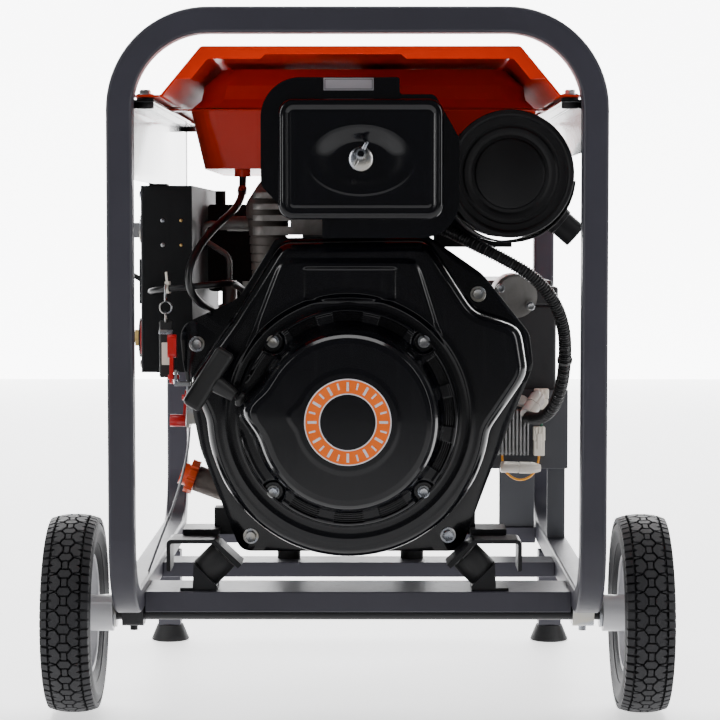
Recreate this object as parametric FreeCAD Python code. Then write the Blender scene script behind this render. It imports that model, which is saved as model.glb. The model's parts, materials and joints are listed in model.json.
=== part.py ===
import FreeCAD, Part
import math
import os

# Engine driven welder on an open tube frame with two wheels and two feet.
# Millimetres. X runs to the right, Y runs from the recoil starter to the rear, Z is up.
# The origin lies on the floor, under the middle of the machine.

V = FreeCAD.Vector
X = V(1, 0, 0)
Y = V(0, 1, 0)
Z = V(0, 0, 1)

# ---------------------------------------------------------------- driving dimensions
frame_width = 492.0          # outside the hoops
frame_height = 718.3         # top of the hoops
hoop_pitch = 675.0           # between the two hoops' centre planes
tube = 25.4                  # square tube, outside
tube_wall = 2.0
tube_corner = 3.0
hoop_top_bend = 87.3         # centre line
hoop_foot_bend = 72.3        # centre line
rail_z = 122.7               # centre of the side rails
front_inset = 17.0           # everything sits at least this far behind the front hoop

cross_top = 126.5            # top face of the cross members
cross_wall = 3.0
front_cross_depth = 97.0
front_cross_width = 78.0
front_cross_height = 21.3
middle_cross_depth = 308.0
middle_cross_width = 50.0
middle_cross_height = 16.7
rear_cross_depth = 614.0
rear_cross_width = 30.0
rear_cross_height = 20.0

plate_wall = 2.4             # side plates
plate_top = 629.0
left_plate_height = 79.0
right_plate_height = 52.5
plate_lip = 22.0             # top edge folded inwards

axle_depth = 110.0
axle_d = 14.4
wheel_d = 205.4
tyre_width = 52.0
tyre_x = 294.0               # middle of the tyre
rim_d = 124.0
rim_width = 40.0
hub_d = 38.0
hub_start = 254.0
hub_end = 301.0
wheel_play = 0.08            # radial, hub on axle
side_play = 0.5              # along the axle

foot_depth = 528.0
foot_d = 47.0
foot_height = 19.3
leg_size = 27.0

crank_x = -9.7
crank_z = 309.0
crank_d = 35.0
crank_throw = 35.0
cylinder_depth = 228.0
bore_d = 86.0
piston_play = 0.05
case_front = 152.0
case_length = 148.0
case_width = 190.0
case_bottom = 185.0
case_top = 400.0
case_wall = 12.0
main_bearing_d = 62.0
shaft_play = 0.05            # radial, crank in its bearings

housing_r = 147.0            # round part of the blower housing
housing_front = 90.0
housing_back = 149.0
sheet = 2.0
back_plate_wall = 3.0
flywheel_r = 134.0
recoil_flange_r = 118.0
recoil_body_r = 101.0
recoil_front = 20.0
recoil_bolt_offset = 77.3
recoil_bore_r = 96.0

pulley_r = 58.0
pulley_groove_r = 38.4
pulley_depth = 50.0
rope_r = 3.0
rope_gap = 0.4
rope_angle = 147.0           # direction of pull, degrees from +X towards +Z
post_r = 8.0
post_play = 0.06

filter_x = 3.3
filter_z = 575.8
filter_front = 24.0
filter_plate_depth = 42.0
filter_back = 118.0

muffler_x = 153.4
muffler_z = 557.0
muffler_r = 64.3
muffler_front = 50.0
muffler_length = 143.0

cover_width = 444.0          # cover over the tank, over its flanges
cover_length = 623.0
cover_flange_z = 632.0
cover_foot = 396.0           # width where the slopes start
cover_roof = 316.0
cover_x = 3.0
cover_top = 682.0
cover_lip = 12.5

tank_x = 5.5
tank_width = 373.0
tank_length = 405.0
tank_front = 205.0
tank_bottom = 566.0
tank_seam = 629.2
tank_top = 673.5
tank_wall = 1.6
tank_draft = 14.0
tank_shoulder = 11.0
tank_bevel = 655.0           # where the upper shell starts to lean in
tank_top_inset = 32.0
cap_x = 30.0
cap_depth = 470.0
neck_r = 26.0
cap_r = 31.0

alternator_r = 112.0
alternator_front = 330.0
alternator_length = 230.0
stator_bore_r = 70.0
air_gap = 1.0
rotor_shaft_r = 15.0

box_left = -227.0            # control box
box_width = 52.0
box_bottom = 350.0
box_top = 547.0
box_front = 160.0
box_length = 430.0
box_wall = 1.6
panel_wall = 2.0

battery_x = 169.5
battery_width = 120.0
battery_length = 235.0
battery_height = 200.0
battery_front = 415.0
tray_top = 234.0
tray_wall = 3.0
tray_right = 243.0

fit = 0.3                    # between neighbouring bodies with curved faces
play = 0.06                  # radial, small pivots


def back(depth):
    """Y of a place so far behind the front hoop."""
    return depth - hoop_pitch / 2


# ---------------------------------------------------------------- shape helpers
def block(x0, x1, y0, y1, z0, z1):
    return Part.makeBox(x1 - x0, y1 - y0, z1 - z0, V(x0, y0, z0))


def rod(start, end, radius):
    run = end - start
    return Part.makeCylinder(radius, run.Length, start, run)


def ring(start, end, outer, inner):
    return rod(start, end, outer).cut(rod(start, end, inner))


def along_y(x, z, d0, d1, outer, inner=0):
    start = V(x, back(d0), z)
    end = V(x, back(d1), z)
    return ring(start, end, outer, inner) if inner else rod(start, end, outer)


def hexagon(centre, axis, across, height):
    side = V(0, 0, 1) if abs(axis.z) < 0.9 else V(1, 0, 0)
    side = side.cross(axis).normalize()
    other = axis.cross(side)
    corner = across / math.sqrt(3)
    points = []
    for turn in range(7):
        angle = math.radians(60 * turn)
        points.append(centre + side * (corner * math.cos(angle)) + other * (corner * math.sin(angle)))
    return Part.Face(Part.makePolygon(points)).extrude(axis * height)


def bolt(seat, axis, shank_d, shank, washer=True):
    """Hexagon bolt: the head stands on the seat along the axis, the shank goes the other way."""
    washer_height = 0.15 * shank_d if washer else 0
    solid = hexagon(seat + axis * washer_height, axis, 1.6 * shank_d, 0.65 * shank_d)
    if washer:
        solid = solid.fuse(rod(seat, seat + axis * washer_height, 1.05 * shank_d))
    return solid.fuse(rod(seat - axis * shank, seat, shank_d / 2))


def outline(points, base, across, up):
    """Closed wire through (a, b, corner radius) points in the plane of two directions."""
    places = [base + across * p[0] + up * p[1] for p in points]
    count = len(points)
    edges = []
    ends = []
    for index, (_, _, radius) in enumerate(points):
        here = places[index]
        into = (here - places[index - 1]).normalize()
        out = (places[(index + 1) % count] - here).normalize()
        if radius <= 0:
            ends.append((here, here, None))
            continue
        half = into.getAngle(out) / 2
        reach = radius * math.tan(half)
        bisector = (out - into).normalize()
        centre = here + bisector * (radius / math.cos(half))
        ends.append((here - into * reach, here + out * reach, centre - bisector * radius))
    for index, (first, last, middle) in enumerate(ends):
        if middle is not None:
            edges.append(Part.Arc(first, middle, last).toShape())
        following = ends[(index + 1) % count][0]
        if (following - last).Length > 1e-6:
            edges.append(Part.LineSegment(last, following).toShape())
    return Part.Wire(edges)


def prism(points, base, across, up, push):
    return Part.Face(outline(points, base, across, up)).extrude(push)


def plate_xz(points, d0, d1):
    """Sheet or block with its outline in the X-Z plane."""
    return prism(points, V(0, back(d0), 0), X, Z, Y * (d1 - d0))


def rectangle(x0, x1, z0, z1, radius):
    return [(x0, z0, radius), (x1, z0, radius), (x1, z1, radius), (x0, z1, radius)]


def lathe(points, base, axis):
    """Solid of revolution: points are (radius, height, corner radius)."""
    side = V(0, 0, 1) if abs(axis.z) < 0.9 else V(1, 0, 0)
    return Part.Face(outline(points, base, side, axis)).revolve(base, axis, 360)


def round_face(radius, inner=0):
    face = Part.Face(Part.Wire(Part.makeCircle(radius)))
    return face.cut(Part.Face(Part.Wire(Part.makeCircle(inner)))).Faces[0] if inner else face


def tube_face(size, corner, wall):
    half = size / 2
    outer = outline([(-half, -half, corner), (half, -half, corner),
                     (half, half, corner), (-half, half, corner)],
                    V(0, 0, 0), X, Y)
    half = half - wall
    rest = corner - wall
    inner = outline([(-half, -half, rest), (half, -half, rest), (half, half, rest), (-half, half, rest)],
                    V(0, 0, 0), X, Y)
    return Part.Face(outer).cut(Part.Face(inner)).Faces[0]


def bent_bar(route, radii, face, side):
    """Straight runs joined by tangent arcs, with one section all the way."""
    pieces = []
    here = route[0]
    for index in range(1, len(route)):
        run = (route[index] - route[index - 1]).normalize()
        side = (side - run * side.dot(run)).normalize()
        place = FreeCAD.Placement(here, FreeCAD.Rotation(side, run.cross(side), run, "ZXY"))
        section = face.copy()
        section.Placement = place
        if index == len(route) - 1:
            pieces.append(section.extrude(route[index] - here))
            break
        out = (route[index + 1] - route[index]).normalize()
        turn = run.getAngle(out)
        reach = radii[index - 1] * math.tan(turn / 2)
        stop = route[index] - run * reach
        if (stop - here).Length > 1e-6:
            pieces.append(section.extrude(stop - here))
        axis = run.cross(out).normalize()
        centre = stop + axis.cross(run) * radii[index - 1]
        section = face.copy()
        section.Placement = FreeCAD.Placement(stop, place.Rotation)
        pieces.append(section.revolve(centre, axis, math.degrees(turn)))
        here = route[index] + out * reach
        side = FreeCAD.Rotation(axis, math.degrees(turn)).multVec(side)
    return pieces[0].multiFuse(pieces[1:]).removeSplitter() if len(pieces) > 1 else pieces[0]


def soft_radii(route):
    """Largest tangent arcs that the runs of a cord leave room for."""
    radii = []
    for index in range(1, len(route) - 1):
        into = route[index] - route[index - 1]
        out = route[index + 1] - route[index]
        radii.append(0.45 * min(into.Length, out.Length) / math.tan(into.getAngle(out) / 2))
    return radii


def cord(name, points, diameter):
    """Round tube through (x, depth, z) points; prints its arcs and checks its volume."""
    route = [V(x, back(d), z) for x, d, z in points]
    radii = soft_radii(route)
    solid = bent_bar(route, radii, round_face(diameter / 2), Z if abs((route[1] - route[0]).z) < 5 else X)
    length = sum((route[i + 1] - route[i]).Length for i in range(len(route) - 1))
    for index, radius in enumerate(radii):
        half = (route[index + 1] - route[index]).getAngle(route[index + 2] - route[index + 1]) / 2
        length += 2 * radius * (half - math.tan(half))
    section = math.pi * diameter ** 2 / 4
    print(f"{name}: length {length:.0f}, tightest arc {min(radii):.0f}, volume ratio "
          f"{solid.Volume / section / length:.4f}, radii {[round(r) for r in radii]}")
    return solid


def mirrored(shape):
    return shape.mirror(V(0, 0, 0), X)


# ---------------------------------------------------------------- frame
rail_x = (frame_width - tube) / 2
inner_x = frame_width / 2 - tube
rail_top = rail_z + tube / 2
rail_bottom = rail_z - tube / 2
hoop_back = tube / 2                       # depth of the front hoop's rear face
rear_hoop_front = hoop_pitch - tube / 2    # depth of the rear hoop's front face


def hoop():
    """One bent tube: up one leg, over the top, down the other, with half a side rail on each leg."""
    top = frame_height - tube / 2
    front = back(0)
    route = [V(-rail_x, 0, rail_z), V(-rail_x, front, rail_z), V(-rail_x, front, top),
             V(rail_x, front, top), V(rail_x, front, rail_z), V(rail_x, 0, rail_z)]
    radii = [hoop_foot_bend, hoop_top_bend, hoop_top_bend, hoop_foot_bend]
    return bent_bar(route, radii, tube_face(tube, tube_corner, tube_wall), X)


def cross_member(depth, width, height):
    """Inverted channel welded between the side rails."""
    outer = block(-inner_x, inner_x, back(depth), back(depth + width), cross_top - height, cross_top)
    inner = block(-inner_x, inner_x, back(depth + cross_wall), back(depth + width - cross_wall),
                  cross_top - height, cross_top - cross_wall)
    return outer.cut(inner)


mount_places = [hoop_back + 27.0, rear_hoop_front - 42.0]
mount_x = 212.0
mount_hole_r = 7.0
mount_shank_d = 8.0


def side_plate(side, height):
    """Sheet between the hoops with its top edge folded inwards and holes for the rubber bushes."""
    outer = inner_x + plate_wall
    wall = block(inner_x, outer, back(hoop_back), back(rear_hoop_front), plate_top - height, plate_top)
    lip = block(outer - plate_lip, outer, back(hoop_back), back(rear_hoop_front),
                plate_top - plate_wall, plate_top)
    plate = wall.fuse(lip)
    for depth in mount_places:
        centre = V(mount_x, back(depth), plate_top - 10)
        plate = plate.cut(rod(centre, centre + Z * 20, mount_hole_r))
    plate = plate.removeSplitter()
    return plate if side > 0 else mirrored(plate)


bush_r = 8.6
bush_height = cover_flange_z - plate_top


def cover_bush(x, depth):
    """Rubber bush through the plate's lip, under the cover's flange."""
    base = V(x, back(depth), plate_top)
    low = -plate_wall - 5.0
    profile = [(mount_shank_d / 2 + 0.1, low, 0), (bush_r, low, 0.8), (bush_r, -plate_wall, 0),
               (mount_hole_r - 0.1, -plate_wall, 0), (mount_hole_r - 0.1, 0, 0), (bush_r, 0, 0),
               (bush_r, bush_height, 0), (mount_shank_d / 2 + 0.1, bush_height, 0)]
    return lathe(profile, base, Z)


def support_leg(side):
    """Square tube leg under the rail with a gusset plate, welded to its foot plate."""
    x = rail_x - 2.0
    z0 = foot_height
    half = leg_size / 2
    leg = block(x - half, x + half, back(foot_depth) - half, back(foot_depth) + half, z0 + 4, rail_bottom)
    hollow = block(x - half + 3, x + half - 3, back(foot_depth) - half + 3, back(foot_depth) + half - 3,
                   z0 + 4, rail_bottom)
    foot_plate = block(x - half, x + half, back(foot_depth) - half, back(foot_depth) + half, z0, z0 + 4)
    gusset = prism([(half, rail_bottom, 0), (half + 46, rail_bottom, 0), (half, rail_bottom - 58, 0)],
                   V(x - 2, back(foot_depth), 0), Y, Z, X * 4)
    leg = leg.cut(hollow).fuse([foot_plate, gusset]).removeSplitter()
    return leg if side > 0 else mirrored(leg)


def rubber_foot(side):
    base = V(side * (rail_x - 2.0), back(foot_depth), 0)
    profile = [(0, 0, 0), (foot_d / 2, 0, 1.5), (foot_d / 2 - 8, foot_height, 1.5), (0, foot_height, 0)]
    return lathe(profile, base, Z)


axle_z = wheel_d / 2
axle_end = 309.0


def axle_clamp(side):
    """Saddle welded under the rail with the axle through it."""
    x0 = rail_x - 11
    x1 = rail_x + 11
    outer = [(-20, rail_bottom, 0), (20, rail_bottom, 0), (13, axle_z - 12, 5), (-13, axle_z - 12, 5)]
    saddle = prism(outer, V(x0, back(axle_depth), 0), Y, Z, X * (x1 - x0))
    centre = V(x0 - 5, back(axle_depth), axle_z)
    saddle = saddle.cut(rod(centre, centre + X * 40, axle_d / 2 + 0.05))
    pin_z = axle_z - 12
    stud = rod(V(rail_x, back(axle_depth), pin_z - 6), V(rail_x, back(axle_depth), pin_z), 4.0)
    saddle = saddle.fuse(stud)
    return saddle if side > 0 else mirrored(saddle)


def axle():
    centre_y = back(axle_depth)
    return rod(V(-axle_end, centre_y, axle_z), V(axle_end, centre_y, axle_z), axle_d / 2)


def tyre(side):
    half = tyre_width / 2
    base = V(side * tyre_x, back(axle_depth), axle_z)
    bead = rim_d / 2
    radius = wheel_d / 2
    profile = [(bead, -rim_width / 2 + 4, 0), (bead + 6, -rim_width / 2, 3), (radius - 16, -half, 8),
               (radius, -half + 5, 6), (radius, half - 5, 6), (radius - 16, half, 8),
               (bead + 6, rim_width / 2, 3), (bead, rim_width / 2 - 4, 0)]
    return lathe(profile, base, X)


def rim(side):
    """Pressed steel rim with its hub and bush."""
    base = V(side * tyre_x, back(axle_depth), axle_z)
    half = rim_width / 2
    bead = rim_d / 2
    barrel = ring(base - X * (half - 4), base + X * (half - 4), bead, bead - 3)
    outer_edge = ring(base + X * (side * (half - 4)), base + X * (side * (half - 2)), bead - 0.5, bead - 5)
    inner_edge = ring(base - X * (side * (half - 4)), base - X * (side * (half - 2)), bead - 0.5, bead - 5)
    disc = ring(base - X * 2, base + X * 2, bead - 1, axle_d / 2)
    for turn in range(5):
        angle = math.radians(72 * turn + 36)
        hole = base + Y * (38 * math.cos(angle)) + Z * (38 * math.sin(angle))
        disc = disc.cut(rod(hole - X * 5, hole + X * 5, 9))
    hub = rod(V(side * hub_start, base.y, base.z), V(side * hub_end, base.y, base.z), hub_d / 2)
    whole = barrel.fuse([outer_edge, inner_edge, disc, hub])
    bore = axle_d / 2 + wheel_play
    return whole.cut(rod(base - X * 60, base + X * 60, bore)).removeSplitter()


def axle_washers():
    """Washers either side of each hub and the split pins outside them."""
    shapes = []
    for side in (-1, 1):
        for start, width, radius in ((hub_start - side_play - 3, 3, 15), (hub_end + side_play, 3, 13)):
            first = V(side * start, back(axle_depth), axle_z)
            last = V(side * (start + width), back(axle_depth), axle_z)
            shapes.append(ring(first, last, radius, axle_d / 2 + 0.05))
        pin_x = side * (hub_end + side_play + 3 + 1.6)
        pin = V(pin_x, back(axle_depth), axle_z)
        shapes.append(rod(pin + Z * (axle_d / 2), pin + Z * (axle_d / 2 + 7), 1.5))
    return shapes


# ---------------------------------------------------------------- engine mounts
foot_block_width = 50.0
foot_block_height = 33.0
foot_block_top = 180.0
foot_block_depth = 44.0
mount_depth = 124.0
left_block_x = -198.5
right_block_x = 170.0


def mount_frame(side):
    """Outer top corner of the engine foot and the inward direction."""
    return (left_block_x, 1) if side < 0 else (right_block_x, -1)


def engine_foot(side):
    """Bent bracket: a box that carries the stud and a face at 45 degrees under the crankcase."""
    corner, inward = mount_frame(side)
    low = foot_block_top - foot_block_height
    reach = foot_block_width
    x = lambda along: corner + inward * along
    d0 = back(mount_depth - foot_block_depth / 2)
    shell = [(x(0), foot_block_top, 5), (x(0), low, 2), (x(4), low, 0), (x(4), foot_block_top - 4, 2),
             (x(reach - 2), foot_block_top - 4, 0), (x(reach + 24), foot_block_top - 30, 0),
             (x(reach + 28), foot_block_top - 26, 0), (x(reach), foot_block_top, 3)]
    bracket = prism(shell, V(0, d0, 0), X, Z, Y * foot_block_depth)
    arm_x = crank_x + inward * -1 * (case_width / 2)
    arm = block(min(arm_x, x(reach - 4)), max(arm_x, x(reach - 4)), back(case_front + 9), back(case_front + 34),
                foot_block_top - 2, foot_block_top + 26)
    tie = block(min(x(14), x(reach + 2)), max(x(14), x(reach + 2)), d0 + foot_block_depth - 6,
                back(case_front + 34), foot_block_top, foot_block_top + 6)
    return bracket.fuse([arm, tie]).removeSplitter()


rubber_size = 34.0
rubber_height = 26.0


def rubber_axis(side):
    """Middle of the rubber's upper face and the direction down through it."""
    corner, inward = mount_frame(side)
    top = V(corner + inward * (foot_block_width + 9), back(mount_depth), foot_block_top - 17.5)
    down = V(-inward, 0, -1).normalize()
    return top + down * 1.0, down


def engine_rubber(side):
    top, down = rubber_axis(side)
    return rod(top, top + down * rubber_height, rubber_size / 2)


def mount_bracket(side):
    """Bent plate on the front cross member with a face at 45 degrees under the rubber."""
    corner, inward = mount_frame(side)
    top, down = rubber_axis(side)
    foot = top + down * rubber_height
    slope = V(inward, 0, -1).normalize()
    half = rubber_size / 2
    wall = 3.0
    high = foot - slope * half
    low = foot + slope * half
    points = [(high.x, high.z, 0), (low.x, low.z, 0), (low.x, cross_top, 0),
              (high.x - inward * 14, cross_top, 0), (high.x - inward * 14, cross_top + wall, 0),
              (high.x - inward * 1, cross_top + wall, 0)]
    if low.z < cross_top + 0.5:
        run = (foot.z - cross_top) / -slope.z
        low = foot + slope * run
        points = [(high.x, high.z, 0), (low.x, cross_top, 0), (high.x - inward * 14, cross_top, 0),
                  (high.x - inward * 14, cross_top + wall, 0), (high.x - inward * 1, cross_top + wall, 0)]
    return prism(points, V(0, back(mount_depth - 20), 0), X, Z, Y * 40)


# ---------------------------------------------------------------- engine core
case_left = crank_x - case_width / 2
case_right = crank_x + case_width / 2
case_back = case_front + case_length
cylinder_y = back(cylinder_depth)
barrel_r = bore_d / 2 + 8
cylinder_top = 495.0
head_top = 540.0
head_left = -112.0
head_right = 80.0


def crankcase():
    outer = plate_xz(rectangle(case_left, case_right, case_bottom, case_top, 22), case_front, case_back)
    sump = plate_xz(rectangle(case_left + 12, case_right - 12, case_bottom - 20, case_bottom + 20, 10),
                    case_front + 12, case_back - 12)
    inner = plate_xz(rectangle(case_left + case_wall, case_right - case_wall, case_bottom + case_wall,
                               case_top - case_wall, 14),
                     case_front + case_wall, case_back - case_wall)
    case = outer.fuse(sump).cut(inner)
    for depth in (case_front, case_back - case_wall):
        case = case.cut(along_y(crank_x, crank_z, depth - 2, depth + case_wall + 2, main_bearing_d / 2))
    bore = V(crank_x, cylinder_y, case_top - case_wall - 2)
    case = case.cut(rod(bore, bore + Z * 20, barrel_r))
    return case.removeSplitter()


def cylinder():
    """Barrel with its spigot in the crankcase and seven cooling fins."""
    foot = V(crank_x, cylinder_y, case_top - case_wall)
    barrel = rod(foot, V(crank_x, cylinder_y, cylinder_top), barrel_r)
    shapes = []
    for count in range(7):
        z = case_top + 12 + count * 11.5
        fin = prism([(-66, -56, 12), (66, -56, 12), (66, 56, 12), (-66, 56, 12)],
                    V(crank_x, cylinder_y, z), X, Y, Z * 3)
        shapes.append(fin)
    deck = prism([(-60, -52, 10), (60, -52, 10), (60, 52, 10), (-60, 52, 10)],
                 V(crank_x, cylinder_y, case_top), X, Y, Z * 8)
    barrel = barrel.fuse(shapes + [deck])
    return barrel.cut(rod(foot, V(crank_x, cylinder_y, cylinder_top), bore_d / 2)).removeSplitter()


def cylinder_head():
    y0 = back(168)
    head = prism([(head_left, y0, 12), (head_right, y0, 12), (head_right, back(288), 12),
                  (head_left, back(288), 12)], V(0, 0, cylinder_top), X, Y, Z * (head_top - cylinder_top))
    for count in range(3):
        z = cylinder_top + 9 + count * 12
        slot = block(head_left - 1, crank_x - 62, back(167), back(289), z, z + 6)
        head = head.cut(slot)
    return head.removeSplitter()


def rocker_cover():
    return prism([(-95, back(180), 14), (20, back(180), 14), (20, back(276), 14), (-95, back(276), 14)],
                 V(0, 0, head_top), X, Y, Z * 20)


web_r = 40.0
pin_width = 22.0
crank_pin_r = 11.0
web_width = 14.0


def crankshaft():
    front_web = cylinder_depth - pin_width / 2 - web_width
    rear_web = cylinder_depth + pin_width / 2
    shaft = along_y(crank_x, crank_z, 96, front_web, crank_d / 2)
    shaft = shaft.fuse([
        along_y(crank_x, crank_z, front_web, front_web + web_width, web_r),
        along_y(crank_x, crank_z, rear_web, rear_web + web_width, web_r),
        along_y(crank_x, crank_z + crank_throw, cylinder_depth - pin_width / 2, rear_web, crank_pin_r),
        along_y(crank_x, crank_z, rear_web + web_width, alternator_front - 5, crank_d / 2)])
    return shaft.removeSplitter()


piston_height = 58.0
piston_rest = 484.0           # crown, at the top of its stroke


def piston():
    crown = V(crank_x, cylinder_y, piston_rest)
    body = rod(crown - Z * piston_height, crown, bore_d / 2 - piston_play)
    body = body.cut(rod(crown - Z * piston_height, crown - Z * 14, bore_d / 2 - 8))
    for count in range(3):
        groove = crown - Z * (4 + 4 * count)
        cut = ring(groove - Z * 2, groove, bore_d / 2 + 1, bore_d / 2 - 3)
        body = body.cut(cut)
    pin_z = piston_rest - 36
    pin = rod(V(crank_x - 38, cylinder_y, pin_z), V(crank_x + 38, cylinder_y, pin_z), 11)
    return body.fuse(pin).removeSplitter()


def main_bearings():
    shapes = []
    for depth in (case_front, case_back - case_wall):
        shapes.append(along_y(crank_x, crank_z, depth, depth + case_wall, main_bearing_d / 2,
                              crank_d / 2 + shaft_play))
    return shapes


def flywheel():
    """Flywheel with starter ring and fan blades."""
    wheel = along_y(crank_x, crank_z, 118, 134, 125)
    wheel = wheel.fuse([along_y(crank_x, crank_z, 124, 134, flywheel_r), along_y(crank_x, crank_z, 102, 144, 30)])
    blades = []
    for count in range(16):
        blade = block(crank_x + 72, crank_x + 122, back(101), back(119), crank_z - 1.5, crank_z + 1.5)
        blade.rotate(V(crank_x + 72, 0, crank_z), Y, 25)
        blade.rotate(V(crank_x, 0, crank_z), Y, 22.5 * count)
        blades.append(blade)
    wheel = wheel.fuse(blades)
    return wheel.cut(along_y(crank_x, crank_z, 95, 150, crank_d / 2)).removeSplitter()


# ---------------------------------------------------------------- blower housing
housing_top = 488.0
flange_points = [(-86, 492, 8), (-126, 428, 30), (-188, 400, 20), (-184, 360, 60), (-166, 270, 60),
                 (-124, 162, 14), (108, 162, 14), (137, 240, 60), (184, 358, 14), (180, 392, 18),
                 (130, 455, 40), (74, 494, 8)]
raised_points = [(-80, housing_top, 10), (-130, 408, 25), (-176, 345, 20), (-140, 270, 10), (120, 270, 10),
                 (176, 352, 14), (168, 402, 14), (120, 417, 20), (72, 490, 10)]
housing_bolts = [(-169.3, 380.7), (125.7, 433.3), (-113.1, 177.8), (94.8, 178.9)]
housing_bolt_d = 8.0


def shrunk(points, amount):
    """The same outline drawn in by the sheet's thickness."""
    centre_a = sum(p[0] for p in points) / len(points)
    centre_b = sum(p[1] for p in points) / len(points)
    result = []
    for a, b, radius in points:
        away = V(a - centre_a, b - centre_b, 0)
        scale = 1 - 1.4 * amount / away.Length
        result.append((centre_a + away.x * scale, centre_b + away.y * scale, radius))
    return result


def housing_body(inset, d0, d1):
    drum = along_y(crank_x, crank_z, d0, d1, housing_r - inset)
    points = shrunk(raised_points, inset) if inset else raised_points
    return drum.fuse(plate_xz(points, d0, d1)).removeSplitter()


def blower_housing():
    """Pressed sheet: a raised body with a bolting flange round it."""
    shell = housing_body(0, housing_front, housing_back)
    flange = plate_xz(flange_points, housing_back - sheet, housing_back)
    shell = shell.fuse(flange).cut(housing_body(sheet, housing_front + sheet, housing_back + 1))
    shell = shell.cut(along_y(crank_x, crank_z, housing_front - 1, housing_front + 5, recoil_bore_r))
    for x, z in housing_bolts:
        shell = shell.cut(along_y(x, z, housing_back - 5, housing_back + 1, housing_bolt_d / 2 + 0.2))
    for x, z in recoil_bolt_places():
        shell = shell.cut(along_y(x, z, housing_front - 1, housing_front + 5, 3.2))
    return shell.removeSplitter()


def fan_back_plate():
    """Plate between blower housing and crankcase, with a window for the cooling air."""
    plate = plate_xz(flange_points, housing_back, housing_back + back_plate_wall)
    plate = plate.cut(along_y(crank_x, crank_z, housing_back - 1, housing_back + 5, 44))
    plate = plate.cut(plate_xz(rectangle(-70, 50, 412, 484, 6), housing_back - 1, housing_back + 5))
    for x, z in housing_bolts:
        plate = plate.cut(along_y(x, z, housing_back - 1, housing_back + 5, housing_bolt_d / 2 + 0.2))
    return plate.removeSplitter()


def blower_bolts():
    shapes = []
    for x, z in housing_bolts:
        seat = V(x, back(housing_back - sheet), z)
        bolt_solid = bolt(seat, -Y, housing_bolt_d, sheet + back_plate_wall)
        nut = hexagon(V(x, back(housing_back + back_plate_wall), z), Y, 13, 6)
        shapes.append(bolt_solid.fuse(nut).removeSplitter())
    return shapes


# ---------------------------------------------------------------- recoil starter
def recoil_bolt_places():
    offset = recoil_bolt_offset
    return [(crank_x + a * offset, crank_z + b * offset) for a in (-1, 1) for b in (-1, 1)]


pull = V(math.cos(math.radians(rope_angle)), 0, math.sin(math.radians(rope_angle)))
rope_side = V(-pull.z, 0, pull.x)
rope_offset = pulley_groove_r + rope_r + rope_gap


def rope_point(along):
    return V(crank_x, back(pulley_depth), crank_z) + rope_side * rope_offset + pull * along


def recoil_cover():
    """Pressed cover with vents, four ears, the pulley's post and the rope guide."""
    flange_d = housing_front - sheet
    centre = V(crank_x, back(0), crank_z)
    wall = 2.5
    outer = [(0, recoil_front, 0), (86, recoil_front + 3, 14), (recoil_body_r - 2, 34, 12),
             (recoil_body_r, flange_d, 0), (recoil_flange_r - 10, flange_d, 0),
             (recoil_flange_r - 10, housing_front, 0), (recoil_body_r - wall, housing_front, 0),
             (recoil_body_r - wall - 1, 36, 10), (84, recoil_front + 3 + wall, 12), (0, recoil_front + wall, 0)]
    cover = lathe(outer, centre, Y)
    ears = [along_y(x, z, flange_d, housing_front, 12) for x, z in recoil_bolt_places()]
    post = along_y(crank_x, crank_z, recoil_front + 1, 68, post_r)
    guide = rod(rope_point(90), rope_point(108), 9)
    cover = cover.fuse(ears + [post, guide])
    cover = cover.cut(rod(rope_point(60), rope_point(120), rope_r + 0.5))
    for x, z in recoil_bolt_places():
        cover = cover.cut(along_y(x, z, flange_d - 1, housing_front + 1, 3.2))
    for count in range(24):
        if count % 6 == 0:
            continue
        slot = block(crank_x + 56, crank_x + 80, back(recoil_front - 2), back(recoil_front + 12),
                     crank_z - 2.2, crank_z + 2.2)
        slot.rotate(V(crank_x, 0, crank_z), Y, 15 * count)
        cover = cover.cut(slot)
    return cover.removeSplitter()


def recoil_bolts():
    shapes = []
    for x, z in recoil_bolt_places():
        seat = V(x, back(housing_front - sheet), z)
        shapes.append(bolt(seat, -Y, 6.0, 12))
    return shapes


def recoil_pulley():
    half = 12.0
    d0 = pulley_depth - half
    d1 = pulley_depth + half
    wheel = along_y(crank_x, crank_z, d0, d1, pulley_r)
    groove = along_y(crank_x, crank_z, pulley_depth - 4.2, pulley_depth + 4.2, pulley_r + 1, pulley_groove_r)
    wheel = wheel.cut(groove)
    return wheel.cut(along_y(crank_x, crank_z, d0 - 1, d1 + 1, post_r + post_play)).removeSplitter()


def recoil_handle():
    """T handle: cross bar and neck."""
    centre = rope_point(141)
    side = rope_side * 34
    bar = rod(centre - side, centre + side, 9.5)
    neck = Part.makeCone(6.5, 8.5, 24, rope_point(110), pull)
    handle = bar.fuse(neck)
    return handle.cut(rod(rope_point(100), rope_point(126), rope_r)).removeSplitter()


def starter_rope():
    return rod(rope_point(3), rope_point(126), rope_r)


# ---------------------------------------------------------------- air cleaner
def filter_back_plate():
    points = [(-97, 560, 0), (-97, 653, 40), (42, 653, 3), (42, 636, 3), (77, 636, 8), (102, 592, 10),
              (102, 492.6, 38), (-35.5, 492.6, 4), (-35.5, 512.5, 3), (-66, 512.5, 12), (-97, 545, 10)]
    plate = plate_xz(points, filter_plate_depth, filter_plate_depth + 3)
    return plate.cut(plate_xz(rectangle(-60, 65, 530, 615, 10), filter_plate_depth - 1, filter_plate_depth + 4))


def filter_canister():
    d0 = filter_plate_depth + 3
    outer = plate_xz(rectangle(-75, 82, 515, 628, 14), d0, filter_back)
    inner = plate_xz(rectangle(-72.5, 79.5, 517.5, 625.5, 12), d0, filter_back - 2.5)
    can = outer.cut(inner)
    can = can.cut(plate_xz(rectangle(-34, 24, 522, 542, 3), filter_back - 5, filter_back + 1))
    stud = along_y(filter_x, filter_z, 19, filter_back - 2.5, 3.0)
    return can.fuse(stud).removeSplitter()


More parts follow.
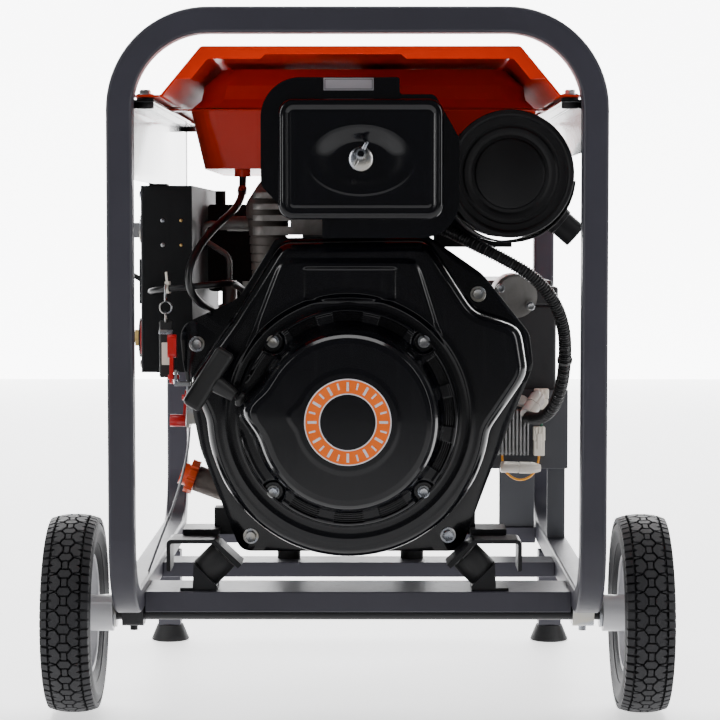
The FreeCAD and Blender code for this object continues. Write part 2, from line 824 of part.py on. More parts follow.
def filter_element():
    return plate_xz(rectangle(-56, 62, 532, 613, 8), filter_plate_depth + 4, filter_back - 2.8).cut(
        along_y(filter_x, filter_z, 40, filter_back, 20))


def filter_cover():
    outer = plate_xz(rectangle(filter_x - 82.5, filter_x + 82.5, 511, 631, 14), filter_front,
                     filter_plate_depth)
    inner = plate_xz(rectangle(filter_x - 80, filter_x + 80, 513.5, 628.5, 12), filter_front + 2.5,
                     filter_plate_depth)
    cover = outer.cut(inner)
    return cover.cut(along_y(filter_x, filter_z, 10, 60, 3.0 + play)).removeSplitter()


def wing_nut():
    d0 = front_inset + 1.0
    d1 = filter_front - 0.05
    nut = along_y(filter_x, filter_z, d0, d1, 7.5)
    for angle in (60, 240):
        wing = block(filter_x + 5, filter_x + 14, back(d0), back(d1 - 1.5), filter_z - 2, filter_z + 2)
        wing.rotate(V(filter_x, 0, filter_z), Y, -angle)
        nut = nut.fuse(wing)
    return nut.cut(along_y(filter_x, filter_z, 10, 60, 3.0 + play)).removeSplitter()


def intake_duct():
    outer = plate_xz(rectangle(-38, 28, 518, 538, 5), filter_back, 168)
    return outer.cut(plate_xz(rectangle(-35, 25, 521, 535, 3), filter_back, 168))


# ---------------------------------------------------------------- exhaust
def muffler():
    d0 = muffler_front
    d1 = muffler_front + muffler_length
    centre = V(muffler_x, back(0), muffler_z)
    wall = 2.0
    outer = [(0, d0 + 4, 0), (34, d0 + 4, 2), (38, d0 + 7, 2), (46, d0 + 7, 2), (50, d0 + 4, 2),
             (58, d0 + 4, 2), (60, d0, 2), (muffler_r, d0, 1.5), (muffler_r, d1, 1.5), (60, d1, 2),
             (58, d1 - 4, 2), (0, d1 - 4, 0)]
    drum = lathe(outer, centre, Y)
    cavity = along_y(muffler_x, muffler_z, d0 + 10, d1 - 4 - wall, muffler_r - wall)
    drum = drum.cut(cavity)
    drum = drum.cut(rod(elbow_end - elbow_way * 12, elbow_end + elbow_way * 12, 12.0))
    return drum.cut(rod(tail_start - tail_way * 12, tail_start + tail_way * 12, 12.0)).removeSplitter()


pipe_r = 14.0
elbow_way = V(0, -1, 0)
elbow_end = V(136, back(muffler_front + muffler_length - 4), 532)
tail_way = V(math.cos(math.radians(-41)), 0, math.sin(math.radians(-41)))
tail_start = V(muffler_x, back(120), muffler_z) + tail_way * (muffler_r - 1)


tail_r = 13.5
tail_collar = 12.0
tail_free = 20.0


def exhaust_elbow():
    start = V(head_right, back(232), 517)
    route = [start, V(122, back(232), 517), elbow_end + V(0, 26, 0), elbow_end]
    return bent_bar(route, [20, 20], round_face(pipe_r, pipe_r - 2), Z)


def tail_pipe():
    centre = tail_start
    tube_solid = ring(centre, centre + tail_way * (tail_collar + tail_free), tail_r, tail_r - 2)
    tube_solid = tube_solid.fuse(ring(centre, centre + tail_way * tail_collar, pipe_r + 1, tail_r - 2))
    drum = along_y(muffler_x, muffler_z, 60, 180, muffler_r)
    return tube_solid.cut(drum).removeSplitter()


shield_drop = 3.0
shield_gap = 0.2
shield_wall = 1.8


def heat_shield():
    """Bent strip hugging the underside of the muffler."""
    inner = muffler_r + shield_gap
    z = muffler_z - shield_drop
    strip = along_y(muffler_x, z, muffler_front + 6, muffler_front + muffler_length, inner + shield_wall,
                    inner)
    keep = block(muffler_x - 80, muffler_x + 80, back(40), back(200), z - 80, z - 4)
    strip = strip.common(keep)
    opening = rod(tail_start, tail_start + tail_way * 40, pipe_r + 1.5)
    return strip.cut(opening)


def muffler_bracket():
    """Cradle from the head's side to the underside of the muffler."""
    arm = block(head_right, muffler_x + 10, back(185), back(muffler_front + muffler_length), 482, 512)
    drum = along_y(muffler_x, muffler_z - shield_drop, 160, 200, muffler_r + shield_gap + shield_wall + 0.1)
    return arm.cut(drum).removeSplitter()


# ---------------------------------------------------------------- cover and tank
def cover_section(drop, spread):
    """Half widths and heights of the cover, drawn in by the sheet."""
    foot = cover_foot / 2 - spread
    roof = cover_roof / 2 - spread * 0.55
    return foot, roof, cover_top - drop


def tank_cover():
    wall = 2.0
    half = cover_width / 2
    foot, roof, top = cover_section(0, 0)
    in_foot, in_roof, in_top = cover_section(wall, 1.5)
    low = cover_flange_z
    d0 = front_inset
    d1 = front_inset + cover_length
    points = [(-half, low + wall, 0), (cover_x - foot, low + wall, 3), (cover_x - roof, top, 5),
              (cover_x + roof, top, 5), (cover_x + foot, low + wall, 3), (half, low + wall, 0),
              (half, low, 0), (cover_x + in_foot, low, 3), (cover_x + in_roof, in_top, 3),
              (cover_x - in_roof, in_top, 3), (cover_x - in_foot, low, 3), (-half, low, 0)]
    cover = plate_xz(points, d0, d1)
    lip_foot_z = cover_top - 32.5
    share = (lip_foot_z - low) / (top - low)
    outer_x = in_foot + (in_roof - in_foot) * share + 0.8
    for start in (d0, d1 - wall):
        lip = [(cover_x - outer_x, lip_foot_z, 0), (cover_x - in_roof, top - 1, 0),
               (cover_x + in_roof, top - 1, 0), (cover_x + outer_x, lip_foot_z, 0),
               (cover_x + outer_x - 16, lip_foot_z, 2), (cover_x + in_roof - 6, top - cover_lip, 6),
               (48, top - cover_lip, 2), (43, top - cover_lip + 4.4, 2), (-91, top - cover_lip + 4.4, 2),
               (-96, top - cover_lip, 2), (cover_x - in_roof + 6, top - cover_lip, 6),
               (cover_x - outer_x + 16, lip_foot_z, 2)]
        cover = cover.fuse(plate_xz(lip, start, start + wall))
    for x in (-mount_x, mount_x):
        for depth in mount_places:
            hole = V(x, back(depth), low - 5)
            cover = cover.cut(rod(hole, hole + Z * 15, mount_shank_d / 2 + 0.2))
    hole = V(cap_x, back(cap_depth), low)
    cover = cover.cut(rod(hole, hole + Z * 80, cap_r + 5))
    return cover.removeSplitter()


def cover_bolts():
    shapes = []
    for x in (-mount_x, mount_x):
        for depth in mount_places:
            seat = V(x, back(depth), cover_flange_z + 2.0)
            shank = seat.z - (plate_top - plate_wall - 5.0)
            fixing = bolt(seat, Z, mount_shank_d, shank + 6)
            nut = hexagon(seat - Z * shank, -Z, 13, 5.5)
            shapes.append(fixing.fuse(nut).removeSplitter())
    return shapes


def tank_rectangle(inset, z, radius):
    half = tank_width / 2 - inset
    y0 = back(tank_front + inset)
    y1 = back(tank_front + tank_length - inset)
    return outline([(tank_x - half, y0, radius), (tank_x + half, y0, radius), (tank_x + half, y1, radius),
                    (tank_x - half, y1, radius)], V(0, 0, z), X, Y)


def tank_block(shrink, low, high):
    """Stack of tapered layers, so that the walls have the right draft."""
    seam = tank_seam
    layers = []
    if low < seam:
        layers.append([(tank_draft + shrink, low), (shrink, seam)])
    if high > seam:
        layers.append([(shrink, seam), (tank_shoulder + shrink, seam + tank_shoulder)])
        layers.append([(tank_shoulder + shrink, seam + tank_shoulder), (tank_shoulder + 3 + shrink, tank_bevel)])
        layers.append([(tank_shoulder + 3 + shrink, tank_bevel), (tank_top_inset + shrink, high)])
    shapes = []
    for (inset0, z0), (inset1, z1) in layers:
        shapes.append(Part.makeLoft([tank_rectangle(inset0, z0, 26), tank_rectangle(inset1, z1, 26)], True, True))
    return shapes[0] if len(shapes) == 1 else shapes[0].multiFuse(shapes[1:])


ear_width = 30.0
outlet_x = -126.0
outlet_depth = tank_front + 40


def tank_lower():
    """Lower shell with its seam and four ears on the side plates."""
    pan = tank_block(0, tank_bottom, tank_seam).cut(
        tank_block(tank_wall, tank_bottom + tank_wall, tank_seam + 0.0))
    seam = Part.Face(tank_rectangle(-3, tank_seam - tank_wall, 26)).extrude(Z * tank_wall)
    ears = []
    for depth in (tank_front + 30, tank_front + tank_length - 30 - ear_width):
        ears.append(block(-inner_x + 1.0, inner_x - 1.0, back(depth), back(depth + ear_width),
                          plate_top, plate_top + tank_wall))
    inner = Part.Face(tank_rectangle(tank_wall, tank_seam - tank_wall - 5, 26)).extrude(Z * 20)
    pan = pan.fuse([seam] + ears).cut(inner)
    outlet = V(outlet_x, back(outlet_depth), tank_bottom - 8)
    boss = rod(outlet, outlet + Z * 10, 9)
    return pan.fuse(boss).cut(rod(outlet - Z, outlet + Z * 20, 3.5)).removeSplitter()


def tank_upper():
    """Upper shell with the filler neck."""
    seam = tank_seam + (plate_top + tank_wall - tank_seam)
    shell = tank_block(0, tank_seam + 0.01, tank_top).cut(tank_block(tank_wall, tank_seam, tank_top - tank_wall))
    below = block(-300, 300, back(150), back(660), 500, seam)
    shell = shell.cut(below)
    neck = V(cap_x, back(cap_depth), tank_top - 1)
    collar = rod(neck, neck + Z * 17, neck_r)
    return shell.fuse(collar).cut(rod(neck - Z * 5, neck + Z * 20, neck_r - 3)).removeSplitter()


def fuel_cap():
    base = V(cap_x, back(cap_depth), tank_top + 3)
    outside = [(0, 0, 0), (cap_r, 0, 0), (cap_r, 19, 4), (0, 22, 0)]
    inside = [(0, -1, 0), (neck_r + play, -1, 0), (neck_r + play, 13.5, 0), (0, 13.5, 0)]
    cap = lathe(outside, base, Z).cut(lathe(inside, base, Z))
    for count in range(12):
        angle = math.radians(30 * count)
        groove = base + X * (math.cos(angle) * (cap_r + 2)) + Y * (math.sin(angle) * (cap_r + 2))
        cap = cap.cut(rod(groove - Z, groove + Z * 25, 3.4))
    return cap.removeSplitter()


# ---------------------------------------------------------------- fuel system and controls
pump_left = -150.0
pump_y = 220.0
pump_top = 420.0
union_x = -139.5
union_r = 8.0


def injection_pump():
    body = block(pump_left, case_left, back(pump_y - 22), back(pump_y + 26), 345, pump_top)
    body = body.fuse(rod(V(union_x, back(pump_y), pump_top - 5), V(union_x, back(pump_y), 446), union_r))
    return body.removeSplitter()


def stop_solenoid():
    foot = V(-119, back(pump_y - 10), pump_top)
    return rod(foot, foot + Z * 20, 8.5).fuse(hexagon(foot + Z * 20, Z, 11, 5)).removeSplitter()


injector_z = 507.0


def injector():
    start = V(head_left, back(cylinder_depth), injector_z)
    return rod(start, start - X * 30, 8).fuse(hexagon(start - X * 30, -X, 14, 8)).removeSplitter()


def pressure_pipe():
    """Steel pipe from the pump's union to the injector."""
    start = V(union_x, back(pump_y), 446)
    end = V(head_left - 38, back(cylinder_depth), injector_z)
    corner = V(-168, back(cylinder_depth), injector_z)
    route = [start, start + Z * 26, corner - Z * 17, corner, end]
    return bent_bar(route, [14, 10, 8], round_face(3.0, 1.0), X)


def control_brackets():
    """Angle for the speed lever and a tab for the stop lever, both on the fan back plate."""
    d0 = housing_back + back_plate_wall
    foot = block(-178, -150, back(d0), back(d0 + 3), 296, 345)
    wing = block(-181, -178, back(d0), back(d0 + 48), 292, 345)
    speed = foot.fuse(wing).removeSplitter()
    speed = speed.cut(rod(V(-185, speed_pivot_y, speed_pivot_z), V(-170, speed_pivot_y, speed_pivot_z), 3 + play))
    near = stop_pivot_depth - 7
    far = stop_pivot_depth + 7
    tab_foot = block(-187, -165, back(near), back(far), stop_pivot_z - 9, stop_pivot_z - 5)
    tab = block(-189, -186, back(near), back(far), stop_pivot_z - 9, stop_pivot_z + 8)
    stop = tab_foot.cut(housing_body(0, near - 2, far + 2)).fuse(tab).removeSplitter()
    stop = stop.cut(rod(V(-195, stop_pivot_y, stop_pivot_z), V(-180, stop_pivot_y, stop_pivot_z), 2.5 + play))
    return [speed, stop]


speed_pivot_y = back(182)
speed_pivot_z = 322.0
stop_pivot_depth = 101.0
stop_pivot_y = back(stop_pivot_depth)
stop_pivot_z = 349.0


def speed_lever():
    """Lever on the left of the bracket with its pin and round knob."""
    head = rod(V(-177.7, speed_pivot_y, speed_pivot_z), V(-174.5, speed_pivot_y, speed_pivot_z), 5)
    pin = rod(V(-188, speed_pivot_y, speed_pivot_z), V(-174.5, speed_pivot_y, speed_pivot_z), 3).fuse(head)
    arm = prism([(-7, 8, 2.5), (7, 8, 2.5), (-28, -26, 4), (-38, -20, 4)],
                V(-184.5, speed_pivot_y, speed_pivot_z), Y, Z, X * 3)
    knob_y = speed_pivot_y - 32
    knob = rod(V(-198, knob_y, speed_pivot_z - 22), V(-181.5, knob_y, speed_pivot_z - 22), 6.5)
    return arm.fuse([pin, knob]).removeSplitter()


def stop_lever():
    pin = rod(V(-196, stop_pivot_y, stop_pivot_z), V(-184.5, stop_pivot_y, stop_pivot_z), 2.5)
    arm = prism([(-7, -7, 6), (7, -7, 6), (5, 38, 4), (-5, 38, 4)],
                V(-194, stop_pivot_y, stop_pivot_z), Y, Z, X * 4)
    grip = prism([(-6, 20, 4), (6, 20, 4), (6, 44, 4), (-6, 44, 4)],
                 V(-196, stop_pivot_y, stop_pivot_z), Y, Z, X * 9)
    return arm.fuse([pin, grip]).removeSplitter()


oil_start = V(case_left, back(200), 208.5)
oil_way = V(-0.94, 0, 0.34)
oil_way.normalize()
cap_play = 0.3                # radial, plug in its neck


def oil_neck():
    neck = rod(oil_start - oil_way * 4, oil_start + oil_way * 74, 14)
    neck = neck.cut(rod(oil_start - oil_way * 8, oil_start + oil_way * 80, 10))
    case_side = block(case_left, case_left + 60, back(150), back(260), 180, 260)
    return neck.cut(case_side).removeSplitter()


def oil_cap():
    start = oil_start + oil_way * 74.3
    cap = rod(start, start + oil_way * 9, 18.5)
    grip = rod(start + oil_way * 9, start + oil_way * 17, 12)
    plug = rod(start - oil_way * 12, start, 10 - cap_play)
    cap = cap.fuse([grip, plug])
    for count in range(10):
        angle = 36 * count
        side = FreeCAD.Rotation(oil_way, angle).multVec(V(0, 1, 0))
        groove = start + side * 19.5
        cap = cap.cut(rod(groove - oil_way, groove + oil_way * 10, 2.6))
    return cap.removeSplitter()


def starter_motor():
    d0 = housing_back + back_plate_wall
    body = along_y(128, 388, d0, d0 + 12, 34)
    body = body.fuse([along_y(128, 388, d0 + 12, d0 + 120, 30), along_y(128, 388, d0 + 120, d0 + 126, 18)])
    return body.removeSplitter()


def starter_solenoid():
    body = along_y(167.8, 429.6, 195, 268, 23.5)
    link = along_y(167.8, 429.6, 190, 195, 21)
    studs = [along_y(152, 438.2, 182, 190.5, 5), along_y(183, 420, 182, 190.5, 5)]
    motor = along_y(128, 388, 150, 300, 30.15)
    saddle = prism([(26, -9, 0), (40, -9, 0), (40, 9, 0), (26, 9, 0)], V(128, back(205), 388),
                   V(0.69, 0, 0.72), V(-0.72, 0, 0.69), Y * 40)
    return body.fuse([link, saddle.cut(motor)] + studs).removeSplitter()


# ---------------------------------------------------------------- alternator
alternator_back = alternator_front + alternator_length


def alternator_bell():
    """Adapter between the crankcase and the alternator's shell."""
    points = [(26, case_back, 0), (90, case_back, 0), (90, case_back + 6, 0), (alternator_r, alternator_front - 8, 0),
              (alternator_r, alternator_front, 0), (alternator_r - 9, alternator_front, 0),
              (84, case_back + 10, 0), (26, case_back + 10, 0)]
    return lathe(points, V(crank_x, back(0), crank_z), Y)


def alternator_shell():
    shell = along_y(crank_x, crank_z, alternator_front, alternator_back, alternator_r, alternator_r - 6)
    for count in range(18):
        rib = block(crank_x - 1.5, crank_x + 1.5, back(alternator_front + 12), back(alternator_back - 12),
                    crank_z + alternator_r - 1, crank_z + alternator_r + 4)
        rib.rotate(V(crank_x, 0, crank_z), Y, 20 * count)
        shell = shell.fuse(rib)
    return shell.removeSplitter()


def alternator_feet():
    """Saddle block under the shell, on its rubber pads."""
    base = cross_top + 22.0
    shapes = []
    for x in (crank_x - 70, crank_x + 70):
        foot = block(x - 20, x + 20, back(middle_cross_depth + 22.5), back(middle_cross_depth + middle_cross_width),
                     base, crank_z)
        barrel = along_y(crank_x, crank_z, 300, 420, alternator_r + 4.3)
        shapes.append(foot.cut(barrel))
    return [min(shape.Solids, key=lambda piece: piece.BoundBox.ZMin) for shape in shapes]


def alternator_rubbers():
    shapes = []
    for x in (crank_x - 70, crank_x + 70):
        foot = V(x, back(middle_cross_depth + 36), cross_top)
        shapes.append(rod(foot, foot + Z * 22, 13))
    return shapes


def stator():
    return along_y(crank_x, crank_z, alternator_front + 15, alternator_back - 35, alternator_r - 6, stator_bore_r)


def rotor():
    core = along_y(crank_x, crank_z, alternator_front + 20, alternator_back - 40, stator_bore_r - air_gap)
    shaft = along_y(crank_x, crank_z, alternator_front - 5, alternator_back + 24, rotor_shaft_r)
    return core.fuse(shaft).removeSplitter()


def alternator_end():
    """End cover with vents and the rear bearing's seat."""
    points = [(rotor_bearing_r, alternator_back, 0), (alternator_r, alternator_back, 0),
              (alternator_r, alternator_back + 8, 0), (92, alternator_back + 30, 10), (0, alternator_back + 30, 0),
              (0, alternator_back + 26, 0), (rotor_bearing_r, alternator_back + 26, 0)]
    cover = lathe(points, V(crank_x, back(0), crank_z), Y)
    inner = along_y(crank_x, crank_z, alternator_back - 1, alternator_back + 22, 96, rotor_bearing_r + 6)
    cover = cover.cut(inner)
    for count in range(12):
        slot = block(crank_x - 5, crank_x + 5, back(alternator_back + 18), back(alternator_back + 34),
                     crank_z + 42, crank_z + 78)
        slot.rotate(V(crank_x, 0, crank_z), Y, 30 * count)
        cover = cover.cut(slot)
    return cover.removeSplitter()


rotor_bearing_r = 31.0


def rear_bearing():
    return along_y(crank_x, crank_z, alternator_back + 4, alternator_back + 20, rotor_bearing_r,
                   rotor_shaft_r + shaft_play)


# ---------------------------------------------------------------- control box
box_right = box_left + box_width
box_back = box_front + box_length
knob_place = (330.0, 500.0)
key_place = (205.0, 500.0)
breaker_place = (230.0, 445.0)
meter_place = (450.0, 500.0)
socket_places = [(360.0, 432.0), (430.0, 432.0)]
terminal_places = [(200.0, 385.0), (280.0, 385.0)]
terminal_block_height = 5.0
terminal_reach = 18.5
terminal_r = 4.9


def control_box():
    """Folded sheet box, open towards the panel."""
    outer = block(box_left, box_right, back(box_front), back(box_back), box_bottom, box_top)
    inner = block(box_left, box_right - box_wall, back(box_front + box_wall), back(box_back - box_wall),
                  box_bottom + box_wall, box_top - box_wall)
    return outer.cut(inner)


strap_wall = 3.0
strap_width = 30.0


def box_hangers():
    """Two straps from the left side plate down to the control box."""
    shapes = []
    for depth in (box_front + 60, box_back - 80):
        low = plate_top - left_plate_height
        far_side = -inner_x - plate_wall - strap_wall
        ends = (back(depth), back(depth + strap_width))
        strap = block(far_side, -inner_x - plate_wall, *ends, box_top, low + 25)
        foot = block(far_side, -inner_x + 14, *ends, box_top, box_top + strap_wall)
        shapes.append(strap.fuse(foot).removeSplitter())
    return shapes


def control_panel():
    panel = block(box_left - panel_wall, box_left, back(box_front), back(box_back), box_bottom, box_top)
    for (depth, z), radius in ((knob_place, 5), (key_place, 8)):
        centre = V(box_left - 5, back(depth), z)
        panel = panel.cut(rod(centre, centre + X * 10, radius + play))
    return panel


def meter():
    depth, z = meter_place
    x = box_left - panel_wall
    bezel = prism([(-30, -24, 4), (30, -24, 4), (30, 24, 4), (-30, 24, 4)],
                  V(x - 6, back(depth), z), Y, Z, X * 6)
    window = prism([(-26, -20, 2), (26, -20, 2), (26, 20, 2), (-26, 20, 2)],
                   V(x - 7, back(depth), z), Y, Z, X * 3)
    return bezel.cut(window)


def meter_face():
    depth, z = meter_place
    x = box_left - panel_wall - 4.0
    return prism([(-25.9, -19.9, 2), (25.9, -19.9, 2), (25.9, 19.9, 2), (-25.9, 19.9, 2)],
                 V(x - 1.2, back(depth), z), Y, Z, X * 1.2)


def sockets():
    """Round earthed sockets with a well and three contact slots."""
    shapes = []
    for depth, z in socket_places:
        face = V(box_left - panel_wall, back(depth), z)
        body = rod(face - X * 9, face, 27)
        body = body.cut(rod(face - X * 10, face - X * 3, 20))
        shapes.append(body)
    return shapes


def weld_terminals():
    """Threaded output studs on insulating blocks."""
    shapes = []
    for depth, z in terminal_places:
        face = V(box_left - panel_wall, back(depth), z)
        nut = hexagon(face - X * terminal_block_height, -X, 17, 5)
        stud = rod(face - X * terminal_reach, face - X * terminal_block_height, terminal_r)
        shapes.append(nut.fuse(stud).removeSplitter())
    return shapes


def terminal_blocks():
    shapes = []
    for depth, z in terminal_places:
        face = V(box_left - panel_wall, back(depth), z)
        shapes.append(rod(face - X * terminal_block_height, face, 21))
    return shapes


def current_knob():
    face = V(box_left - panel_wall - fit, back(knob_place[0]), knob_place[1])
    knob = rod(face - X * 15, face, 17)
    knob = knob.fuse(rod(face, face + X * 14, 5))
    pointer = block(face.x - 17, face.x - 15, face.y - 1.5, face.y + 1.5, face.z - 2, face.z + 16)
    for count in range(18):
        angle = math.radians(20 * count)
        groove = face + Y * (18.2 * math.cos(angle)) + Z * (18.2 * math.sin(angle))
        knob = knob.cut(rod(groove - X * 16, groove - X * 3, 2.0))
    return knob.fuse(pointer).removeSplitter()


def key_switch():
    face = V(box_left - panel_wall, back(key_place[0]), key_place[1])
    return ring(face - X * 5, face, 13, 8 + play)


def ignition_key():
    face = V(box_left - panel_wall, back(key_place[0]), key_place[1])
    barrel = rod(face - X * 5, face + X * 16, 8)
    blade = block(face.x - 17, face.x - 5, face.y - 1.2, face.y + 1.2, face.z - 8, face.z + 8)
    return barrel.fuse(blade).removeSplitter()


breaker_pivot_x = box_left - panel_wall - 4.0


def breaker_body():
    face = V(box_left - panel_wall, back(breaker_place[0]), breaker_place[1])
    outer = block(face.x - 7, face.x, face.y - 18, face.y + 18, face.z - 24, face.z + 24)
    well = block(face.x - 8, face.x - 1, face.y - 8, face.y + 8, face.z - 13, face.z + 13)
    return outer.cut(well)


def breaker_toggle():
    face = V(breaker_pivot_x, back(breaker_place[0]), breaker_place[1])
    barrel = rod(face - Y * 8, face + Y * 8, 2.9)
    lever = block(face.x - 13, face.x, face.y - 6, face.y + 6, face.z - 2.4, face.z + 2.4)
    lever.rotate(face, Y, 30)
    return barrel.fuse(lever).removeSplitter()


def terminal_box():
    """Black box with the alternator's terminals, on the shell's left shoulder."""
    outer = plate_xz([(-172, 430, 6), (-114, 430, 6), (-114, 529, 18), (-172, 529, 4)], 360, 470)
    inner = plate_xz([(-170, 432, 5), (-116, 432, 5), (-116, 527, 16), (-170, 527, 3)], 362, 468)
    stay = block(-150, -95, back(390), back(440), 372, 430)
    barrel = along_y(crank_x, crank_z, 300, 600, alternator_r + 0.2)
    stud = rod(V(-160, back(400), 529), V(-160, back(400), 545), 6)
    stay = stay.cut(barrel)
    return outer.cut(inner).fuse([stay, stud]).removeSplitter()


# ---------------------------------------------------------------- right side
battery_left = battery_x - battery_width / 2
battery_right = battery_x + battery_width / 2
battery_back = battery_front + battery_length


def battery_tray():
    """Folded tray with a leg on the rear cross member and one on the rail."""
    z = tray_top
    left = battery_left - 2
    front = battery_front - tray_wall
    rear = back(battery_back + 4)
    leg_depth = rear_cross_depth + 4
    tray = block(left, tray_right, back(front), rear, z - tray_wall, z)
    lip = block(left, tray_right, back(front - tray_wall), back(front), z - 12, z + 80)
    outer_lip = block(tray_right - tray_wall, tray_right, back(front), rear, z - 12, z + 8)
    leg = block(175, 219, back(leg_depth), back(leg_depth + tray_wall), cross_top, z - tray_wall)
    post = block(222, tray_right, back(battery_front + 30), back(battery_front + 34), rail_top, z - tray_wall)
    return tray.fuse([lip, outer_lip, leg, post]).removeSplitter()


def battery():
    body = block(battery_left, battery_right, back(battery_front), back(battery_back), tray_top,
                 tray_top + battery_height)
    lid = block(battery_left - 2, battery_right + 2, back(battery_front - 2), back(battery_back + 2),
                tray_top + battery_height - 22, tray_top + battery_height)
    posts = []
    for depth in (battery_front + 25, battery_back - 25):
        foot = V(battery_left + 25, back(depth), tray_top + battery_height)
        posts.append(rod(foot, foot + Z * 14, 8))
    return body.fuse([lid] + posts).removeSplitter()


def voltage_regulator():
    """Finned casting bolted to the front lip of the battery tray."""
    front = battery_front - 2 * tray_wall
    body = block(160, 196, back(front - 9), back(front), 240, 292)
    fins = []
    for count in range(9):
        x = 160 + count * 4.25
        fins.append(block(x, x + 2, back(front - 24), back(front - 9), 240, 292))
    return body.fuse(fins).removeSplitter()


def connectors():
    """Fuse holder and two plug housings in the loom beside the rectifier."""
    d = battery_front - 2 * tray_wall - 6
    first = block(203, 220, back(d - 6), back(d + 6), 292, 316)
    second = block(202, 216, back(d - 6), back(d + 6), 238, 272)
    fuse = rod(V(168, back(d - 1.1), 306), V(196, back(d - 1.1), 300), 7)
    return [fuse, first, second]


# ---------------------------------------------------------------- hoses, pipes and wires
fuel_route = [(outlet_x, outlet_depth, tank_bottom - 8), (outlet_x, outlet_depth, 547), (-127, 235, 536),
              (-130, 216, 527), (-136, 192, 518), (-146, 165, 508), (-158, 138, 494), (-169, 115, 476),
              (-175, 102, 456), (-173, 103, 438), (-166, 116, 427), (-161, 134, 422), (-158, 152, 419),
              (-153, 168, 414), (-146, 182, 409.5), (-143, 190, 408), (-143, 197.9, 408)]
sleeve_route = [(-218, box_front - 0.2, 436), (-218, 149, 436), (-215, 138, 437), (-207, 129, 438.5),
                (-194, 123.5, 439.8), (-177, 121, 441.3), (-160, 122.5, 443), (-146, 129, 444), (-136.5, 142, 444.5),
                (-131, 158, 444), (-128, 175, 441), (-125, 190, 438), (-121.5, 201, 435)]
conduit_route = [(80.9, 176, 503), (92, 175.4, 501), (106, 167, 494), (121, 159, 486), (139, 152, 477),
                 (158, 149, 467), (177, 150, 456), (195, 155, 441), (210, 165, 420), (219, 180, 395),
                 (222, 199, 369), (222, 219, 345), (220, 241, 324), (216, 265, 307), (210, 290, 295),
                 (204, 316, 288.5), (198, 341, 286), (194, 362, 286)]
stop_wire_route = [(-179.5, 176, 291.8), (-180, 174, 276), (-183, 170, 257), (-188, 167, 235), (-195, 166, 212),
                   (-204, 167, 188), (-214, 171, 163), (-224, 177, 135.9)]
wire_routes = {
    "red": [(196, 362.9, 289), (198, 370, 291), (203, 379, 298), (208, 388, 304), (210, 396.8, 306)],
    "blue": [(192, 363.0, 290), (191, 371, 296), (194, 380, 304), (201, 389, 309), (206.5, 396.2, 311)],
    "yellow": [(166, 398, 239.8), (166, 397, 229), (172, 395, 216), (186, 394, 209), (200, 396, 214),
               (208, 400, 226), (209, 402, 237.8)],
    "green": [(213, 402, 291.8), (215, 401, 285), (214, 401, 279), (211, 402, 272.2)],
    "black": [(191, 362.9, 282), (190, 370, 280), (189, 378, 276), (189, 384.8, 274)],
}


def wires():
    return [cord(name + " wire", points, 2.6) for name, points in wire_routes.items()]


tag_x = -200.0
tag_depth = 125.3
tag_sleeve_z = 439.0


def key_tag():
    """Loop of wire over the sleeve, two rings and a plastic fob, hanging before the control box."""
    y = back(tag_depth)
    loop_z = tag_sleeve_z - 4.1
    loop = Part.makeTorus(9.0, 1.0, V(tag_x, y, loop_z), X)
    first = Part.makeTorus(6.0, 1.2, V(tag_x, y, loop_z - 15.0), Y)
    second = Part.makeTorus(5.5, 1.2, V(tag_x, y, loop_z - 25.5), X)
    fob = prism([(-7, loop_z - 88, 6), (7, loop_z - 88, 6), (7, loop_z - 28, 6), (-7, loop_z - 28, 6)],
                V(tag_x, y - 2.5, 0), X, Z, Y * 5)
    hole = V(tag_x, y, loop_z - 35)
    fob = fob.cut(rod(hole - Y * 5, hole + Y * 5, 3))
    return loop.fuse([first, second, fob]).removeSplitter()


